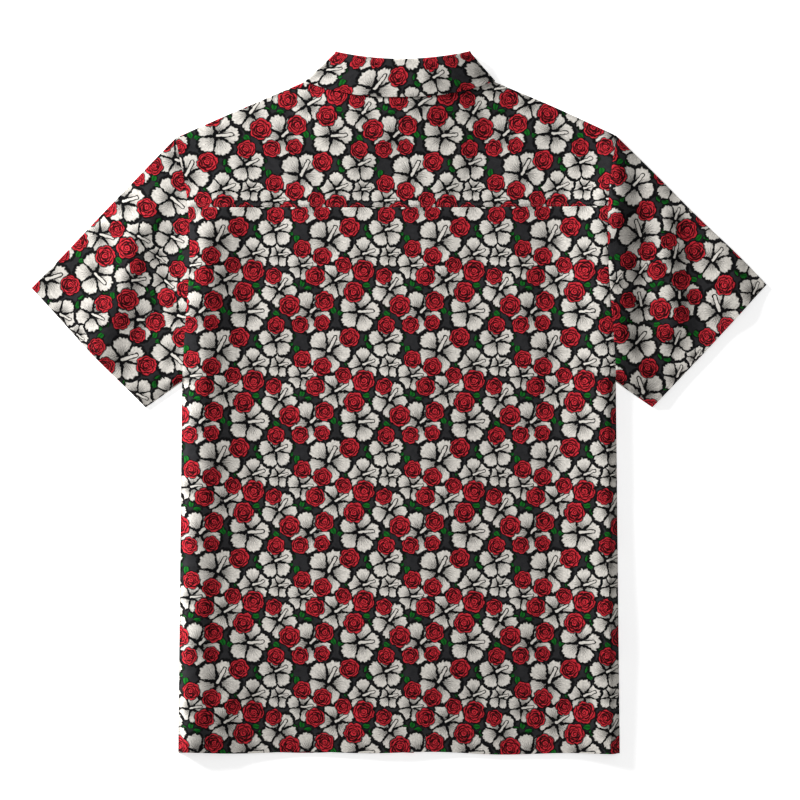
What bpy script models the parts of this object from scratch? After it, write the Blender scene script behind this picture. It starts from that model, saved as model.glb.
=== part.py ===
"""A short-sleeved aloha shirt, buttoned up and laid face down, at its real size.

X runs across the shirt, +Y from its hem to its collar and +Z up from the surface that it lies on.
The origin is on that surface, under the middle of the shirt's box. The fronts lie on the surface, the
back and the yoke lie on them, each sleeve is a flattened tube, and the collar is one strip that stands
up from the neck seam, rolls over and falls back on the outside, all round the neck.

Each cloth piece is a middle surface, worked out on a grid, that a Solidify modifier gives its thickness.
"""

import math
from typing import NamedTuple

import bmesh
import bpy
import numpy as np

MM = 0.001

# Cloth
WALL = 1.0 * MM  # thickness of one layer
SEAM = 0.3 * MM  # gap between two pieces that are sewn together
FOLD_GAP = 1.0 * MM  # air inside a folded edge
FOLD_INSET = 1.5 * MM  # from a folded edge's outside to where its round begins

# Outline of the laid shirt, half of it, from the hem up
HEM_Y = -403.2 * MM
HEM_HALF = 254.5 * MM
UNDERARM = (250.0 * MM, 24.0 * MM)
SHOULDER = (250.0 * MM, 305.0 * MM)
NECK = (92.0 * MM, 376.0 * MM)  # where the neck seam crosses the folded shoulder edge
SLEEVE_TOP = (423.5 * MM, 132.0 * MM)  # the sleeve hem's corner on the folded edge
SLEEVE_LOW = (292.0 * MM, -5.5 * MM)  # and on the underarm seam
ARMHOLE_SCOOP = 11.0 * MM  # how far the armhole cuts in behind a straight line
ARMHOLE_SKEW = 0.6  # above 0, its deepest point is nearer the shoulder
YOKE_SEAM_Y = 225.0 * MM
YOKE_FRONT = 30.7 * MM  # the yoke reaches this far over the shoulder, measured along Y
BACK_NECK_Y = 362.0 * MM
FRONT_NECK_Y = 300.0 * MM
FRONT_NECK_FLAT = 4.0 * MM  # the front neck seam is level for this far each side of the centre

# Front opening
OVERLAP_HALF = 17.0 * MM  # each front goes this far past the centre
OVERLAP_CLEAR = 0.45 * MM  # air between the two fronts where they overlap
OVERLAP_FALL = 16.0 * MM  # the upper one comes down to the surface over this, past the lower one's edge
BUTTON_COUNT = 7
BUTTON_TOP_Y = 284.0 * MM
BUTTON_PITCH = 97.0 * MM
BUTTON_RADIUS = 5.75 * MM
BUTTON_THICK = 2.0 * MM
BUTTON_CLEAR = 0.4 * MM  # air between a button and the placket
BUTTON_RIM = 1.3 * MM
BUTTON_DISH = 0.5 * MM  # depth of its face inside the rim
BUTTON_EDGE = 0.5 * MM  # bevel round its edge
BUTTON_HOLE_RADIUS = 0.9 * MM
BUTTON_HOLE_OUT = 1.7 * MM  # each hole's centre from the button's
PLACKET_FLAT = 13.0 * MM  # half width of the placket's raised flat
PLACKET_FALL = 20.0 * MM  # width of the slope beside it

# Heights of the layers over the surface
COLLAR_LIFT = 1.8 * MM  # the fronts pass this high over the collar's leaf
FRONT_LIFT_REACH = (29.0 * MM, 15.0 * MM)  # where that begins, from the leaf's edge, and its slope's width
BACK_LIFT_REACH = (60.0 * MM, 60.0 * MM)  # the same, for the back over the fronts
LOFT = 2.2 * MM  # air between back and fronts, away from closed edges
LOFT_REACH = 28.0 * MM
EDGE_REACH = 9.5 * MM  # folds die out this near to a closed edge
EDGE_PINCH = 8.0 * MM  # and the layers come together
SEAM_PINCH = 9.0 * MM  # nearer still at the side seams
PLACKET_RISE = 0.8 * MM  # the back rises this much over the placket
PLACKET_REACH = 50.0 * MM
HEM_DROP = 2.6 * MM  # the back comes down by this at its hem, beside the placket
HEM_REACH = 60.0 * MM
NECK_DOME = 5.0 * MM  # the back of the neck arches up by this
NECK_DOME_HALF = 100.0 * MM
NECK_DOME_YS = (270.0 * MM, 370.0 * MM)  # where the arch begins and where it is full
LEAST_GAP = 0.5 * MM
FOLD_CLEAR = 0.05 * MM  # folded pieces lie this far over the surface that the fronts rest on

# Collar
STAND_TOP_BACK_Y = 392.4 * MM
STAND_TOP_SIDE = (76.0 * MM, 401.2 * MM)
STAND_TOP_FRONT = (4.0 * MM, 328.0 * MM)
ROLL_BACK = 2.1 * MM  # radius of the roll at the back of the neck
ROLL_FRONT = 0.8 * MM
LEAF_BACK_Y = 351.0 * MM
LEAF_SIDE = (115.0 * MM, 368.8 * MM)
LEAF_POINT = (58.0 * MM, 272.0 * MM)
LEAF_REST = 0.4 * MM  # air between the leaf's edge and what it falls on
COLLAR_LEAN = 4.5 * MM  # the collar's top lies this far off centre
TURN = (1.1 * MM, 1.1 * MM)  # the turn from the back half to the front half bulges out by this
TURN_INSET = 1.0 * MM  # from the corner of the two halves' curves to where the turn begins


class Fold(NamedTuple):
    """A soft ridge, or a trough where height is negative, along a line. All in millimetres."""

    x0: float
    y0: float
    x1: float
    y1: float
    width: float
    height: float


FOLDS = [
    Fold(x0=-226, y0=190, x1=-238, y1=-390, width=16, height=2.6),  # left side
    Fold(x0=-219, y0=200, x1=-236, y1=-375, width=35, height=7.2),
    Fold(x0=246, y0=215, x1=258, y1=-395, width=44, height=10),  # right side
    Fold(x0=174, y0=180, x1=174, y1=-300, width=22, height=-0.9),
    Fold(x0=246, y0=285, x1=250, y1=200, width=12, height=2.6),  # right armhole
    Fold(x0=262, y0=292, x1=262, y1=236, width=44, height=3.2),
    Fold(x0=272, y0=262, x1=281, y1=64, width=16, height=-3.4),
    Fold(x0=306, y0=206, x1=318, y1=90, width=16, height=4),  # right sleeve
    Fold(x0=372, y0=192, x1=396, y1=96, width=17, height=3.2),
    Fold(x0=338, y0=160, x1=350, y1=84, width=15, height=-1.6),
    Fold(x0=-282, y0=226, x1=-344, y1=62, width=19, height=2.8),  # left sleeve
    Fold(x0=-294, y0=210, x1=-352, y1=62, width=36, height=3.4),
    Fold(x0=-300, y0=40, x1=-290, y1=10, width=14, height=1.5),
    Fold(x0=-205, y0=-400, x1=-194, y1=-330, width=15, height=1.6),  # hem
    Fold(x0=-224, y0=-352, x1=-230, y1=-402, width=86, height=4.4),
    Fold(x0=112, y0=-402, x1=120, y1=-340, width=24, height=0.9),
    Fold(x0=-190, y0=-270, x1=190, y1=-270, width=95, height=2.8),
    Fold(x0=-110, y0=215, x1=-150, y1=60, width=26, height=1.4),  # across the back
    Fold(x0=120, y0=212, x1=158, y1=40, width=28, height=1.4),
    Fold(x0=44, y0=374, x1=40, y1=400, width=42, height=2.4),  # back of the neck
]

HEM_WAVES = 3.5  # waves across the hem
HEM_WAVE = 0.9 * MM


class Finish(NamedTuple):
    """A plain finish."""

    color: tuple[float, float, float]
    roughness: float


PRINTED_CLOTH = Finish(color=(0.24, 0.17, 0.16), roughness=0.85)
BUTTON_BLACK = Finish(color=(0.025, 0.025, 0.028), roughness=0.35)


def smooth(t):
    """0 below 0, 1 above 1, with a smooth step between."""
    t = np.clip(t, 0.0, 1.0)
    return t * t * (3.0 - 2.0 * t)


def segment_distance(x, y, start, end):
    """Distance in plan from (x, y) to the straight line between two points."""
    dx, dy = end[0] - start[0], end[1] - start[1]
    t = np.clip(((x - start[0]) * dx + (y - start[1]) * dy) / (dx * dx + dy * dy), 0.0, 1.0)
    return np.hypot(x - start[0] - t * dx, y - start[1] - t * dy)


def closed_edge_distance(x, y):
    """Distance in plan to the nearest folded or sewn outer edge. Hems are open and don't count."""
    ax = np.abs(x)
    folded = (NECK, SHOULDER, SLEEVE_TOP)
    sewn = (SLEEVE_LOW, UNDERARM, (HEM_HALF, HEM_Y))
    lines = [line[i : i + 2] for line in (folded, sewn) for i in range(2)]
    return np.min([segment_distance(ax, y, a, b) for a, b in lines], axis=0)


def side_x(y):
    """Half width of the body at height y: the side seam, and the armhole above the underarm."""
    down = (UNDERARM[1] - y) / (UNDERARM[1] - HEM_Y)
    seam = UNDERARM[0] + (HEM_HALF - UNDERARM[0]) * down
    t = np.clip((SHOULDER[1] - y) / (SHOULDER[1] - UNDERARM[1]), 0.0, 1.0)
    armhole = SHOULDER[0] - ARMHOLE_SCOOP * np.sin(math.pi * t * (1.0 + ARMHOLE_SKEW * (1.0 - t)))
    return np.where(y < UNDERARM[1], seam, armhole)


def shoulder_y(x):
    """Height in plan of the folded shoulder edge."""
    slope = (SHOULDER[1] - NECK[1]) / (SHOULDER[0] - NECK[0])
    return NECK[1] + slope * (np.abs(x) - NECK[0])


def back_neck_y(x):
    return BACK_NECK_Y + (NECK[1] - BACK_NECK_Y) * (x / NECK[0]) ** 2


def front_neck_y(x):
    share = np.maximum(np.abs(x) - FRONT_NECK_FLAT, 0.0) / (NECK[0] - FRONT_NECK_FLAT)
    return FRONT_NECK_Y + (NECK[1] - FRONT_NECK_Y) * share**2


def front_neck_x(depth):
    """Where the front neck seam crosses a line that lies depth below the folded shoulder edge."""
    run = NECK[0] - FRONT_NECK_FLAT
    slope = (NECK[1] - SHOULDER[1]) / (SHOULDER[0] - NECK[0])
    square, rest = (NECK[1] - FRONT_NECK_Y) / run**2, FRONT_NECK_Y - NECK[1] - slope * run + depth
    return FRONT_NECK_FLAT + (math.sqrt(slope**2 - 4.0 * square * rest) - slope) / (2.0 * square)


def front_top_y(x):
    """Top edge of a front: its neck seam, and its yoke seam beyond."""
    return np.minimum(front_neck_y(x), shoulder_y(x) - YOKE_FRONT - SEAM)


def yoke_top_y(x):
    """Top edge of the yoke: its neck seam, and the folded shoulder edge beyond."""
    return np.where(np.abs(x) < NECK[0], back_neck_y(x), shoulder_y(x) - FOLD_INSET)


def hem_y(x):
    return HEM_Y + HEM_WAVE * np.sin(2.0 * math.pi * HEM_WAVES * x / (2.0 * HEM_HALF))


def collar_lift(x, y, reach):
    """Height that the collar's leaf, lying on the surface, gives to what lies over it.

    reach is how far below the leaf's edge it begins, and the width of its slope.
    """
    ax = np.abs(x)
    inner = (STAND_TOP_FRONT[1] - LEAF_POINT[1]) / (LEAF_POINT[0] - STAND_TOP_FRONT[0])
    outer = (LEAF_SIDE[1] - LEAF_POINT[1]) / (LEAF_SIDE[0] - LEAF_POINT[0])
    away = ax - LEAF_POINT[0]
    edge_y = LEAF_POINT[1] + np.where(away < 0.0, -inner * away, outer * away)
    return COLLAR_LIFT * smooth((y - edge_y + reach[0]) / reach[1])


def placket_lift(x):
    """Height that the buttons, lying on the surface, give to the placket."""
    return (BUTTON_THICK + BUTTON_CLEAR) * (1.0 - smooth((np.abs(x) - PLACKET_FLAT) / PLACKET_FALL))


def overlap_lift(x):
    """Height of the wearer's right front over the left one. Here x grows toward the right side."""
    past = x - OVERLAP_HALF - 2.0 * MM
    return (WALL + OVERLAP_CLEAR) * (1.0 - smooth(past / OVERLAP_FALL))


def under_z(x, y):
    """Underside of the lowest layer of cloth."""
    return np.maximum(collar_lift(x, y, FRONT_LIFT_REACH), placket_lift(x))


def folds_z(x, y):
    """Sum of the ridges and troughs of FOLDS at (x, y)."""
    total = np.zeros_like(x)
    for fold in FOLDS:
        away = segment_distance(x, y, (fold.x0 * MM, fold.y0 * MM), (fold.x1 * MM, fold.y1 * MM))
        total = total + fold.height * MM * np.exp(-((away / (fold.width * MM)) ** 2))
    return total


def with_least(air):
    """Air between two layers, kept softly over LEAST_GAP."""
    least = LEAST_GAP - FOLD_GAP
    return least + MM * np.logaddexp(0.0, (air - least) / MM)


def over_z(x, y):
    """Underside of the upper layer: back, yoke and the sleeves' upper halves."""
    closed = closed_edge_distance(x, y)
    open_share = 1.0 - np.exp(-closed / LOFT_REACH)
    on_placket = np.exp(-((x / PLACKET_REACH) ** 2))
    hem = HEM_DROP * np.exp(-np.maximum(y - HEM_Y, 0.0) / HEM_REACH) * open_share * (1.0 - on_placket)
    arch = np.clip(1.0 - (x / NECK_DOME_HALF) ** 2, 0.0, 1.0)
    low, high = NECK_DOME_YS
    dome = NECK_DOME * arch * smooth((y - low) / (high - low))
    folds = folds_z(x, y) * smooth(closed / EDGE_REACH)
    air = LOFT * open_share + PLACKET_RISE * on_placket - hem + dome + folds
    air = with_least(air) - with_least(0.0) * np.exp(-closed / EDGE_PINCH)
    return collar_lift(x, y, BACK_LIFT_REACH) + WALL + FOLD_GAP + air


def body_over_z(x, y):
    """over_z, brought down to a seam's gap along the body's side seams."""
    away = segment_distance(np.abs(x), y, UNDERARM, (HEM_HALF, HEM_Y))
    return over_z(x, y) - (FOLD_GAP - SEAM) * np.exp(-((away / SEAM_PINCH) ** 2))


def material(name, finish):
    made = bpy.data.materials.new(name)
    made.use_nodes = True
    shader = made.node_tree.nodes["Principled BSDF"]
    shader.inputs["Base Color"].default_value = (*finish.color, 1.0)
    shader.inputs["Roughness"].default_value = finish.roughness
    made.diffuse_color = (*finish.color, 1.0)
    return made


def add_object(name, mesh, finish):
    mesh.materials.append(finish)
    mesh.shade_smooth()
    mesh.set_sharp_from_angle(angle=math.radians(40.0))
    made = bpy.data.objects.new(name, mesh)
    bpy.context.scene.collection.objects.link(made)
    return made


def cloth(name, grids, finish, ring=False):
    """A wall of cloth round a middle surface.

    Each grid is an array of points, rows by columns by three. Grids that share an edge are merged
    there. With ring set, the last column of a grid is joined to its first.
    """
    bm = bmesh.new()
    for grid in grids:
        rows, columns = grid.shape[:2]
        verts = [[bm.verts.new(point) for point in row] for row in grid]
        for i in range(rows - 1):
            for j in range(columns if ring else columns - 1):
                k = (j + 1) % columns
                bm.faces.new((verts[i][j], verts[i][k], verts[i + 1][k], verts[i + 1][j]))
    bmesh.ops.remove_doubles(bm, verts=bm.verts, dist=0.01 * MM)
    bmesh.ops.recalc_face_normals(bm, faces=bm.faces)
    mesh = bpy.data.meshes.new(name)
    bm.to_mesh(mesh)
    bm.free()
    made = add_object(name, mesh, finish)
    wall = made.modifiers.new("wall", "SOLIDIFY")
    wall.thickness = WALL
    wall.offset = 0.0
    wall.use_even_offset = True
    return made


def armhole_ys():
    """Where the pieces on both sides of an armhole have their rows, from the shoulder down."""
    yoke_front = shoulder_y(SHOULDER[0]) - YOKE_FRONT
    runs = ((SHOULDER[1], yoke_front, 2), (yoke_front, YOKE_SEAM_Y, 3), (YOKE_SEAM_Y, UNDERARM[1], 11))
    return joined_steps(*runs)


def rows_to(top, low_steps, low_bend=1.0):
    """Row shares of a panel from its hem to top: even to the underarm, then those of the armhole."""
    underarm = (UNDERARM[1] - HEM_Y) / (top - HEM_Y)
    low = underarm * np.linspace(0.0, 1.0, low_steps + 1) ** low_bend
    ys = armhole_ys()[::-1]
    high = (ys[(ys > UNDERARM[1] + MM) & (ys < top - MM)] - HEM_Y) / (top - HEM_Y)
    return np.concatenate([low, high, [1.0]])


def joined_steps(*runs):
    """Shares from one end to the other: each run is (start, end, steps), and runs share their ends."""
    parts = [np.linspace(start, end, steps + 1)[:-1] for start, end, steps in runs]
    return np.concatenate([*parts, [runs[-1][1]]])


def panel_plan(x_in, shares, rows, bottom, top):
    """Plan of a panel, as two arrays X and Y.

    A column at share s of the way from x_in to the body's side is near enough upright: it starts at
    bottom(x) and ends at top(x). rows are shares of that height.
    """
    x_top = x_in + shares * (SHOULDER[0] - x_in)
    for _ in range(12):
        y_top = top(x_top)
        x_top = x_in + shares * (side_x(y_top) - x_in)
    y_low = bottom(x_in + shares * (HEM_HALF - x_in))
    y = y_low[None, :] + rows[:, None] * (y_top - y_low)[None, :]
    x = x_in + shares[None, :] * (side_x(y) - x_in)
    return x, y


def back_panel(finish):
    top = YOKE_SEAM_Y - SEAM
    half = joined_steps((0.0, 0.72, 8), (0.72, 0.96, 6), (0.96, 1.0, 3))
    rows = rows_to(top, low_steps=14, low_bend=1.2)
    x, y = panel_plan(0.0, half, rows, hem_y, lambda x: np.full_like(x, top))
    x = np.concatenate([-x[:, :0:-1], x], axis=1)
    y = np.concatenate([y[:, :0:-1], y], axis=1)
    y = y + (hem_y(x) - y[0]) * (1.0 - rows[:, None]) ** 8
    return cloth("back_panel", [np.stack([x, y, body_over_z(x, y) + WALL / 2], axis=2)], finish)


def folded_edge(x, y, toward, z_over, z_under, steps=4):
    """Points round a folded edge, between the upper layer and the lower one.

    x, y is where the round begins in plan, toward the unit direction out of the cloth.
    """
    angle = np.linspace(math.pi / 2, -math.pi / 2, steps + 1)[1:-1]
    reach = (FOLD_INSET - WALL / 2) * np.cos(angle)[:, None]
    middle, half = (z_over + z_under) / 2, (z_over - z_under) / 2
    px, py = x[None, :] + reach * toward[0], y[None, :] + reach * toward[1]
    return np.stack([px, py, middle + half * np.sin(angle)[:, None]], axis=2)


def back_yoke(finish):
    """The yoke: a panel over the upper back that folds over each shoulder to the front."""
    neck_share = NECK[0] / SHOULDER[0]
    leaf_share = (LEAF_SIDE[0] + 10.0 * MM) / SHOULDER[0]
    half = joined_steps((0.0, neck_share, 6), (neck_share, leaf_share, 3), (leaf_share, 1.0, 5))
    top = SHOULDER[1] - FOLD_INSET
    ys = armhole_ys()[::-1]
    rows = (ys[(ys > YOKE_SEAM_Y - MM) & (ys < top - MM)] - YOKE_SEAM_Y) / (top - YOKE_SEAM_Y)
    rows = np.sort(np.concatenate([rows, (rows[1:] + rows[:-1]) / 2.0, [(rows[-1] + 1.0) / 2.0, 1.0]]))
    x, y = panel_plan(0.0, half, rows, lambda x: np.full_like(x, YOKE_SEAM_Y), yoke_top_y)
    x = np.concatenate([-x[:, :0:-1], x], axis=1)
    y = np.concatenate([y[:, :0:-1], y], axis=1)
    grids = [np.stack([x, y, over_z(x, y) + WALL / 2], axis=2)]
    start = int(np.argmin(np.abs(half - neck_share)))
    across = (half[start:] - neck_share) / (1.0 - neck_share)
    depths = np.linspace(FOLD_INSET, YOKE_FRONT, 4)
    for side in (-1.0, 1.0):
        columns = slice(len(half) - 1 + start, None) if side > 0 else slice(len(half) - start - 1, None, -1)
        ex, ey = x[-1, columns], y[-1, columns]
        under = under_z(ex, ey) + WALL / 2 + FOLD_CLEAR
        over = over_z(ex, ey) + WALL / 2
        around = folded_edge(ex, ey, (0.0, 1.0), over, under)
        strip = [np.stack([ex, ey, under], axis=1)]
        for depth in depths[1:]:
            inner, outer = front_neck_x(depth), SHOULDER[0]
            for _ in range(12):
                outer = side_x(shoulder_y(outer) - depth)
            sx = side * (inner + across * (outer - inner))
            sy = shoulder_y(sx) - depth
            strip.append(np.stack([sx, sy, under_z(sx, sy) + WALL / 2 + FOLD_CLEAR], axis=1))
        edge = np.stack([ex, ey, over], axis=1)[None]
        grids.append(np.concatenate([edge, around, np.array(strip)], axis=0))
    return cloth("back_yoke", grids, finish)


def front_panel(name, side, finish):
    """One front. side is -1 for the wearer's left, which lies outside, and 1 for the right."""
    corner = (front_neck_x(YOKE_FRONT + SEAM) + OVERLAP_HALF) / (SHOULDER[0] + OVERLAP_HALF)
    centre = 2.0 * OVERLAP_HALF / (SHOULDER[0] + OVERLAP_HALF)
    past_leaf = (LEAF_SIDE[0] + 12.0 * MM + OVERLAP_HALF) / (SHOULDER[0] + OVERLAP_HALF)
    shares = joined_steps((0.0, centre, 3), (centre, corner, 6), (corner, past_leaf, 5), (past_leaf, 1.0, 4))
    top_at_side = float(shoulder_y(SHOULDER[0])) - YOKE_FRONT - SEAM
    rows = rows_to(top_at_side, low_steps=8)
    x, y = panel_plan(-OVERLAP_HALF, shares, rows, hem_y, front_top_y)
    z = under_z(x, y) + WALL / 2
    if side > 0:
        z = z + overlap_lift(x)
    return cloth(name, [np.stack([side * x, y, z], axis=2)], finish)


def sleeve(name, side, finish):
    """One sleeve: flattened rings from the armhole to the hem, folded on top and sewn below."""
    along = joined_steps((0.0, 1.0, 11))
    arm_y = armhole_ys()
    across = (arm_y - SHOULDER[1]) / (UNDERARM[1] - SHOULDER[1])
    arm = np.stack([side_x(arm_y + 0.01 * MM) + SEAM * (1.0 + across), arm_y], axis=1)
    hem = np.array(SLEEVE_TOP) + across[:, None] * (np.array(SLEEVE_LOW) - np.array(SLEEVE_TOP))
    rings = []
    for share in along:
        line = arm + share * (hem - arm)
        down = (line[-1] - line[0]) / np.linalg.norm(line[-1] - line[0])
        length = np.linalg.norm(line[-1] - line[0])
        squeeze = (1.0 - 2.0 * FOLD_INSET / length) * (line - line[0]) + line[0] + FOLD_INSET * down
        x, y = side * squeeze[:, 0], squeeze[:, 1]
        over, under = over_z(x, y) + WALL / 2, under_z(x, y) + WALL / 2 + FOLD_CLEAR
        upper, lower = np.stack([x, y, over], axis=1), np.stack([x, y, under], axis=1)
        out = (side * down[0], down[1])
        low_fold = folded_edge(x[-1:], y[-1:], out, over[-1:], under[-1:])[:, 0]
        top_fold = folded_edge(x[:1], y[:1], (-out[0], -out[1]), over[:1], under[:1])[::-1, 0]
        rings.append(np.concatenate([upper, low_fold, lower[::-1], top_fold]))
    return cloth(name, [np.array(rings)], finish, ring=True)


class CollarRow(NamedTuple):
    """One line round the collar, at a constant place across its strip.

    Its back half runs from the centre of the back to side, and its front half from there to front.
    """

    back_y: float
    side: tuple[float, float]
    front: tuple[float, float]
    back_power: float  # how late the back half turns up toward the side
    front_power: float  # how fast the front half comes down from the side
    back_lift: float  # above the neck seam, at the back
    front_z: float
    lean: float
    on_front: float  # 1 where it takes the height of the front that it is sewn to
    on_yoke: float  # 0 on the stand, 1 where the leaf ends and lies on the yoke


def between(a, b, share):
    return tuple(p + (q - p) * share for p, q in zip(a, b))


def collar_rows():
    """Rows of the collar: up the stand, over the roll and down the leaf."""
    stand_z = COLLAR_LIFT + WALL / 2
    seam_side = (NECK[0], NECK[1] + SEAM)
    seam_front = (FRONT_NECK_FLAT, FRONT_NECK_Y + SEAM)
    rows = []
    for share in np.linspace(0.0, 1.0, 4):
        rows.append(
            CollarRow(
                back_y=BACK_NECK_Y + SEAM + (STAND_TOP_BACK_Y - BACK_NECK_Y - SEAM) * share,
                side=between(seam_side, STAND_TOP_SIDE, share),
                front=between(seam_front, STAND_TOP_FRONT, share),
                back_power=2.0,
                front_power=2.0,
                back_lift=0.0,
                front_z=stand_z,
                lean=COLLAR_LEAN * share,
                on_front=1.0,
                on_yoke=0.0,
            )
        )
    for angle in np.linspace(0.0, math.pi, 5)[1:]:
        over, up = (1.0 - math.cos(angle)) / 2.0, math.sin(angle)
        rows.append(
            CollarRow(
                back_y=STAND_TOP_BACK_Y + ROLL_BACK * up,
                side=(STAND_TOP_SIDE[0] + ROLL_BACK * over, STAND_TOP_SIDE[1] + ROLL_BACK * up),
                front=(STAND_TOP_FRONT[0], STAND_TOP_FRONT[1] + ROLL_FRONT * up),
                back_power=2.0,
                front_power=2.0,
                back_lift=2.0 * ROLL_BACK * over,
                front_z=stand_z - 2.0 * ROLL_FRONT * over,
                lean=COLLAR_LEAN,
                on_front=1.0 - over,
                on_yoke=0.0,
            )
        )
    top = rows[-1]
    for share in np.linspace(0.0, 1.0, 6)[1:]:
        rows.append(
            CollarRow(
                back_y=top.back_y + (LEAF_BACK_Y - top.back_y) * share,
                side=between(top.side, LEAF_SIDE, share),
                front=between(top.front, LEAF_POINT, share),
                back_power=2.0 + 0.5 * share,
                front_power=2.0 - 0.85 * share,
                back_lift=top.back_lift,
                front_z=top.front_z,
                lean=COLLAR_LEAN * (1.0 - 0.7 * share),
                on_front=0.0,
                on_yoke=share,
            )
        )
    return rows


def collar_half(row, side, back_steps=9, turn_steps=4, front_steps=8):
    """Points of one row from the centre of the back round the side to the front end."""
    end_x = row.side[0] - TURN_INSET
    x = np.linspace(0.0, end_x, back_steps + 1)
    y = row.back_y + (row.side[1] - row.back_y) * (x / row.side[0]) ** row.back_power
    seam_y = np.minimum(y, back_neck_y(np.minimum(x, NECK[0])))
    seam_z = over_z(side * x, seam_y) + WALL / 2
    yoke_z = over_z(side * x, y) + WALL / 2 + WALL + LEAF_REST
    z = seam_z + row.back_lift + (np.maximum(yoke_z, seam_z) - seam_z - row.back_lift) * row.on_yoke**1.4
    back = np.stack([x, y, z], axis=1)
    fx = end_x + (row.front[0] - end_x) * np.linspace(0.0, 1.0, front_steps + 1)
    across = np.maximum(fx - row.front[0], 0.0) / (row.side[0] - row.front[0])
    fy = row.front[1] + (row.side[1] - row.front[1]) * across**row.front_power
    fz = np.full_like(fx, row.front_z)
    if side > 0:
        fz = fz + row.on_front * overlap_lift(fx)
    front = np.stack([fx, fy, fz], axis=1)
    angle = np.linspace(0.0, math.pi, turn_steps + 1)[1:-1]
    down, out = (1.0 - np.cos(angle)) / 2.0, np.sin(angle)
    turn = back[-1] + (front[0] - back[-1]) * down[:, None] + np.outer(out, (*TURN, 0.0))
    points = np.concatenate([back, turn, front])
    points[:, 0] *= side
    points[: len(back) + len(turn), 0] += row.lean
    points[len(back) + len(turn) :, 0] += row.lean * across**2
    return points


def collar(finish):
    lines = [np.concatenate([collar_half(row, -1.0)[:0:-1], collar_half(row, 1.0)]) for row in collar_rows()]
    return cloth("collar", [np.array(lines)], finish)


def button(name, y, finish):
    """A four-hole button that lies with its dished face down."""
    profile = [
        (0.0, BUTTON_DISH),
        (BUTTON_RADIUS - BUTTON_RIM, BUTTON_DISH),
        (BUTTON_RADIUS - BUTTON_RIM + BUTTON_DISH, 0.0),
        (BUTTON_RADIUS - BUTTON_EDGE, 0.0),
        (BUTTON_RADIUS, BUTTON_EDGE),
        (BUTTON_RADIUS, BUTTON_THICK - BUTTON_EDGE),
        (BUTTON_RADIUS - BUTTON_EDGE, BUTTON_THICK),
        (0.0, BUTTON_THICK),
    ]
    bm = bmesh.new()
    verts = [bm.verts.new((r, 0.0, z)) for r, z in profile]
    edges = [bm.edges.new(pair) for pair in zip(verts, verts[1:])]
    turn = {"axis": (0.0, 0.0, 1.0), "cent": (0.0, 0.0, 0.0), "angle": 2.0 * math.pi, "steps": 14}
    bmesh.ops.spin(bm, geom=verts + edges, use_duplicate=False, **turn)
    bmesh.ops.remove_doubles(bm, verts=bm.verts, dist=0.01 * MM)
    bmesh.ops.recalc_face_normals(bm, faces=bm.faces)
    mesh = bpy.data.meshes.new(name)
    bm.to_mesh(mesh)
    bm.free()
    made = add_object(name, mesh, finish)
    made.location = (0.0, y, 0.0)
    cut = made.modifiers.new("holes", "BOOLEAN")
    cut.operation = "DIFFERENCE"
    cut.object = button_hole_cutter(name, y)
    return made


def button_hole_cutter(name, y):
    """Four round pegs that cut a button's thread holes."""
    bm = bmesh.new()
    for k in range(4):
        angle = math.pi / 4 + k * math.pi / 2
        made = bmesh.ops.create_cone(
            bm,
            cap_ends=True,
            segments=6,
            radius1=BUTTON_HOLE_RADIUS,
            radius2=BUTTON_HOLE_RADIUS,
            depth=3.0 * BUTTON_THICK,
        )
        place = (BUTTON_HOLE_OUT * math.cos(angle), BUTTON_HOLE_OUT * math.sin(angle), BUTTON_THICK / 2)
        bmesh.ops.translate(bm, verts=made["verts"], vec=place)
    mesh = bpy.data.meshes.new(name + "_holes")
    bm.to_mesh(mesh)
    bm.free()
    cutter = bpy.data.objects.new(name + "_holes", mesh)
    cutter.location = (0.0, y, 0.0)
    cutter.hide_render = True
    cutter.display_type = "WIRE"
    bpy.context.scene.collection.objects.link(cutter)
    return cutter


def main():
    for old in list(bpy.data.objects):
        bpy.data.objects.remove(old)
    cloth_finish = material("printed_cloth", PRINTED_CLOTH)
    button_finish = material("button_black", BUTTON_BLACK)
    back_panel(cloth_finish)
    back_yoke(cloth_finish)
    front_panel("front_left", -1.0, cloth_finish)
    front_panel("front_right", 1.0, cloth_finish)
    sleeve("sleeve_left", -1.0, cloth_finish)
    sleeve("sleeve_right", 1.0, cloth_finish)
    collar(cloth_finish)
    for k in range(BUTTON_COUNT):
        button(f"button_{k + 1}", BUTTON_TOP_Y - k * BUTTON_PITCH, button_finish)


main()
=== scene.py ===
"""Looks of a short-sleeved aloha shirt, buttoned up and laid face down on a pale floor.

Sizes are in metres in the part's own frame: X runs across the shirt, +Y from its hem to its collar and +Z
up from the floor. Each cloth piece is a thin shell round a middle surface, whose height over the floor is a
function of its place in plan, as in the part's source, with finer creases, seams and sewing added here.
Each piece carries a UV map, "cut", with its place on the flat cloth in metres, and the print follows it.
"""

import logging
import math
from dataclasses import dataclass, field
from enum import Enum
from typing import Callable, Iterable, NamedTuple

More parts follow.
